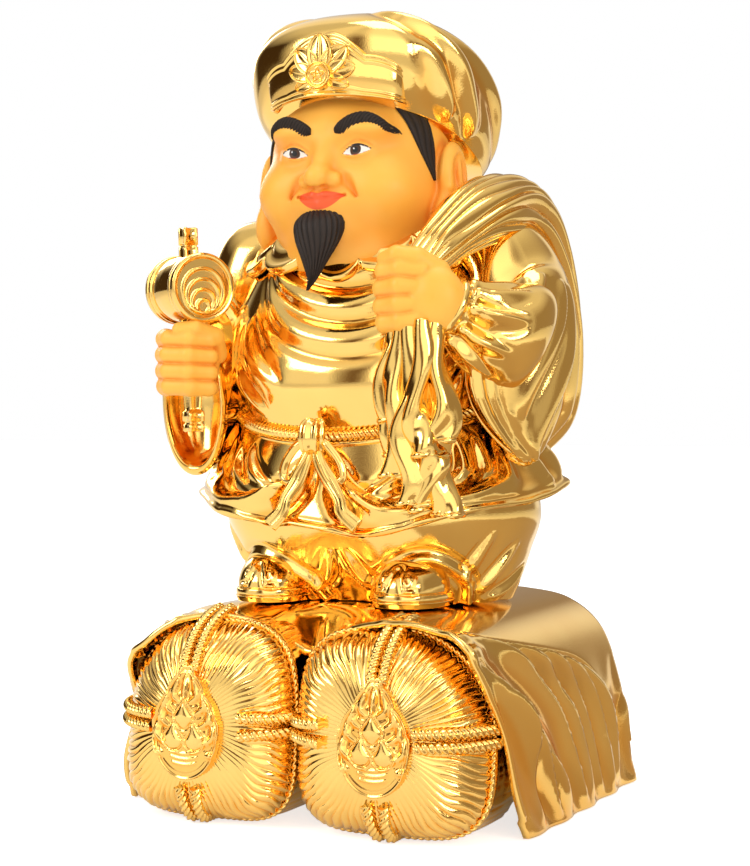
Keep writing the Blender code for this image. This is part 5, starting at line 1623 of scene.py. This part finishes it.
def studio():
    scene = bpy.context.scene
    scene.view_settings.view_transform = "Standard"
    floor = mesh_object("floor", [(-9000, -9000, 0), (9000, -9000, 0), (9000, 9000, 0), (-9000, 9000, 0)],
                        [[0, 1, 2, 3]], False)
    material, tree, shader = base_material("pale_floor", 0.0)
    shader.inputs["Base Color"].default_value = (0.8, 0.8, 0.8, 1)
    shader.inputs["Roughness"].default_value = 0.8
    shader.inputs["Emission Color"].default_value = (1, 1, 1, 1)
    seen = wired(tree, "ShaderNodeLightPath")
    glow = wired(tree, "ShaderNodeMapRange",
                 {"Value": seen.outputs["Is Camera Ray"], "To Min": 0.10, "To Max": 0.72})
    tree.links.new(glow.outputs["Result"], shader.inputs["Emission Strength"])
    floor.data.materials.append(material)

    card = mesh_object("brown_card", [(128, -330, 1), (900, -330, 1), (900, 900, 1), (128, 900, 1)],
                       [[0, 1, 2, 3]], False)
    material, tree, shader = base_material("brown_card", 0.0)
    shader.inputs["Base Color"].default_value = (0.40, 0.31, 0.22, 1)
    shader.inputs["Roughness"].default_value = 0.8
    card.data.materials.append(material)
    card.visible_camera = False
    card.visible_shadow = False
    card.visible_diffuse = False

    world = bpy.data.worlds.new("studio")
    scene.world = world
    world.use_nodes = True
    tree = world.node_tree
    background = tree.nodes["Background"]
    direction = wired(tree, "ShaderNodeTexCoord")
    parts = wired(tree, "ShaderNodeSeparateXYZ", {0: direction.outputs["Generated"]})
    low = wired(tree, "ShaderNodeMapRange", {"Value": parts.outputs["Z"], "From Min": 0.45, "From Max": 0.80,
                                              "To Min": 1.0, "To Max": 0.30})
    walls = (0.95, 0.93, 0.90)
    for bearing, half, colour in ((-62, 34, (1.65, 1.62, 1.56)), (55, 62, (0.34, 0.27, 0.20)),
                                  (84, 5, (0.9, 0.88, 0.84)), (186, 30, (0.05, 0.030, 0.015)),
                                  (-96, 7, (0.16, 0.10, 0.06)), (-22, 9, (0.22, 0.15, 0.10))):
        walls = mixed(tree,
                      panel(tree, direction.outputs["Generated"], low.outputs["Result"], bearing, half),
                      walls, colour)
    ray = wired(tree, "ShaderNodeLightPath")
    seen = mixed(tree, ray.outputs["Is Camera Ray"], walls, (1.0, 1.0, 1.0))
    tree.links.new(seen, background.inputs["Color"])

    target = Vector((0, 0, 0.2))
    for name, place, size, power in (
        ("key_softbox", (-0.9, -1.3, 1.1), 0.7, 9),
        ("fill_softbox", (1.4, -0.7, 0.7), 0.5, 5),
        ("top_softbox", (0.1, 0.1, 1.9), 0.9, 9),
        ("rim_softbox", (-1.2, 1.0, 0.9), 0.6, 5),
    ):
        light = bpy.data.lights.new(name, "AREA")
        light.size = size
        light.energy = power
        thing = bpy.data.objects.new(name, light)
        thing.location = place
        thing.rotation_euler = (target - Vector(place)).to_track_quat("-Z", "Y").to_euler()
        scene.collection.objects.link(thing)

    lens = bpy.data.cameras.new("camera")
    lens.sensor_width = 36
    lens.lens = 77.6
    lens.shift_x = 0.0211
    lens.shift_y = -0.026
    camera = bpy.data.objects.new("camera", lens)
    turn = math.radians(25.6)
    camera.location = (0.950 * math.sin(turn), -0.950 * math.cos(turn) - 0.0125, 0.200)
    camera.rotation_euler = (math.pi / 2, 0, turn)
    scene.collection.objects.link(camera)
    scene.camera = camera


def build_base():
    for side, seed in (("right", 3), ("left", 8)):
        straw_bale(side, seed)
        bale_ropes(side)
        seam_ring(side)
        flame_plaque(side)
    drape_cloth()


def build_figure():
    trousers()
    skirt()
    torso()
    collar()
    belt()
    bow()
    shoe("right")
    shoe("left")
    sleeves()
    sack()
    sack_tail()
    mallet()
    cap_crown()
    cap_band()
    medallion()
    head()
    hands()
    for side in ("right", "left"):
        brow(side)
        sideburn(side)
    goatee()
    hidden_pieces()


studio()
build_base()
build_figure()
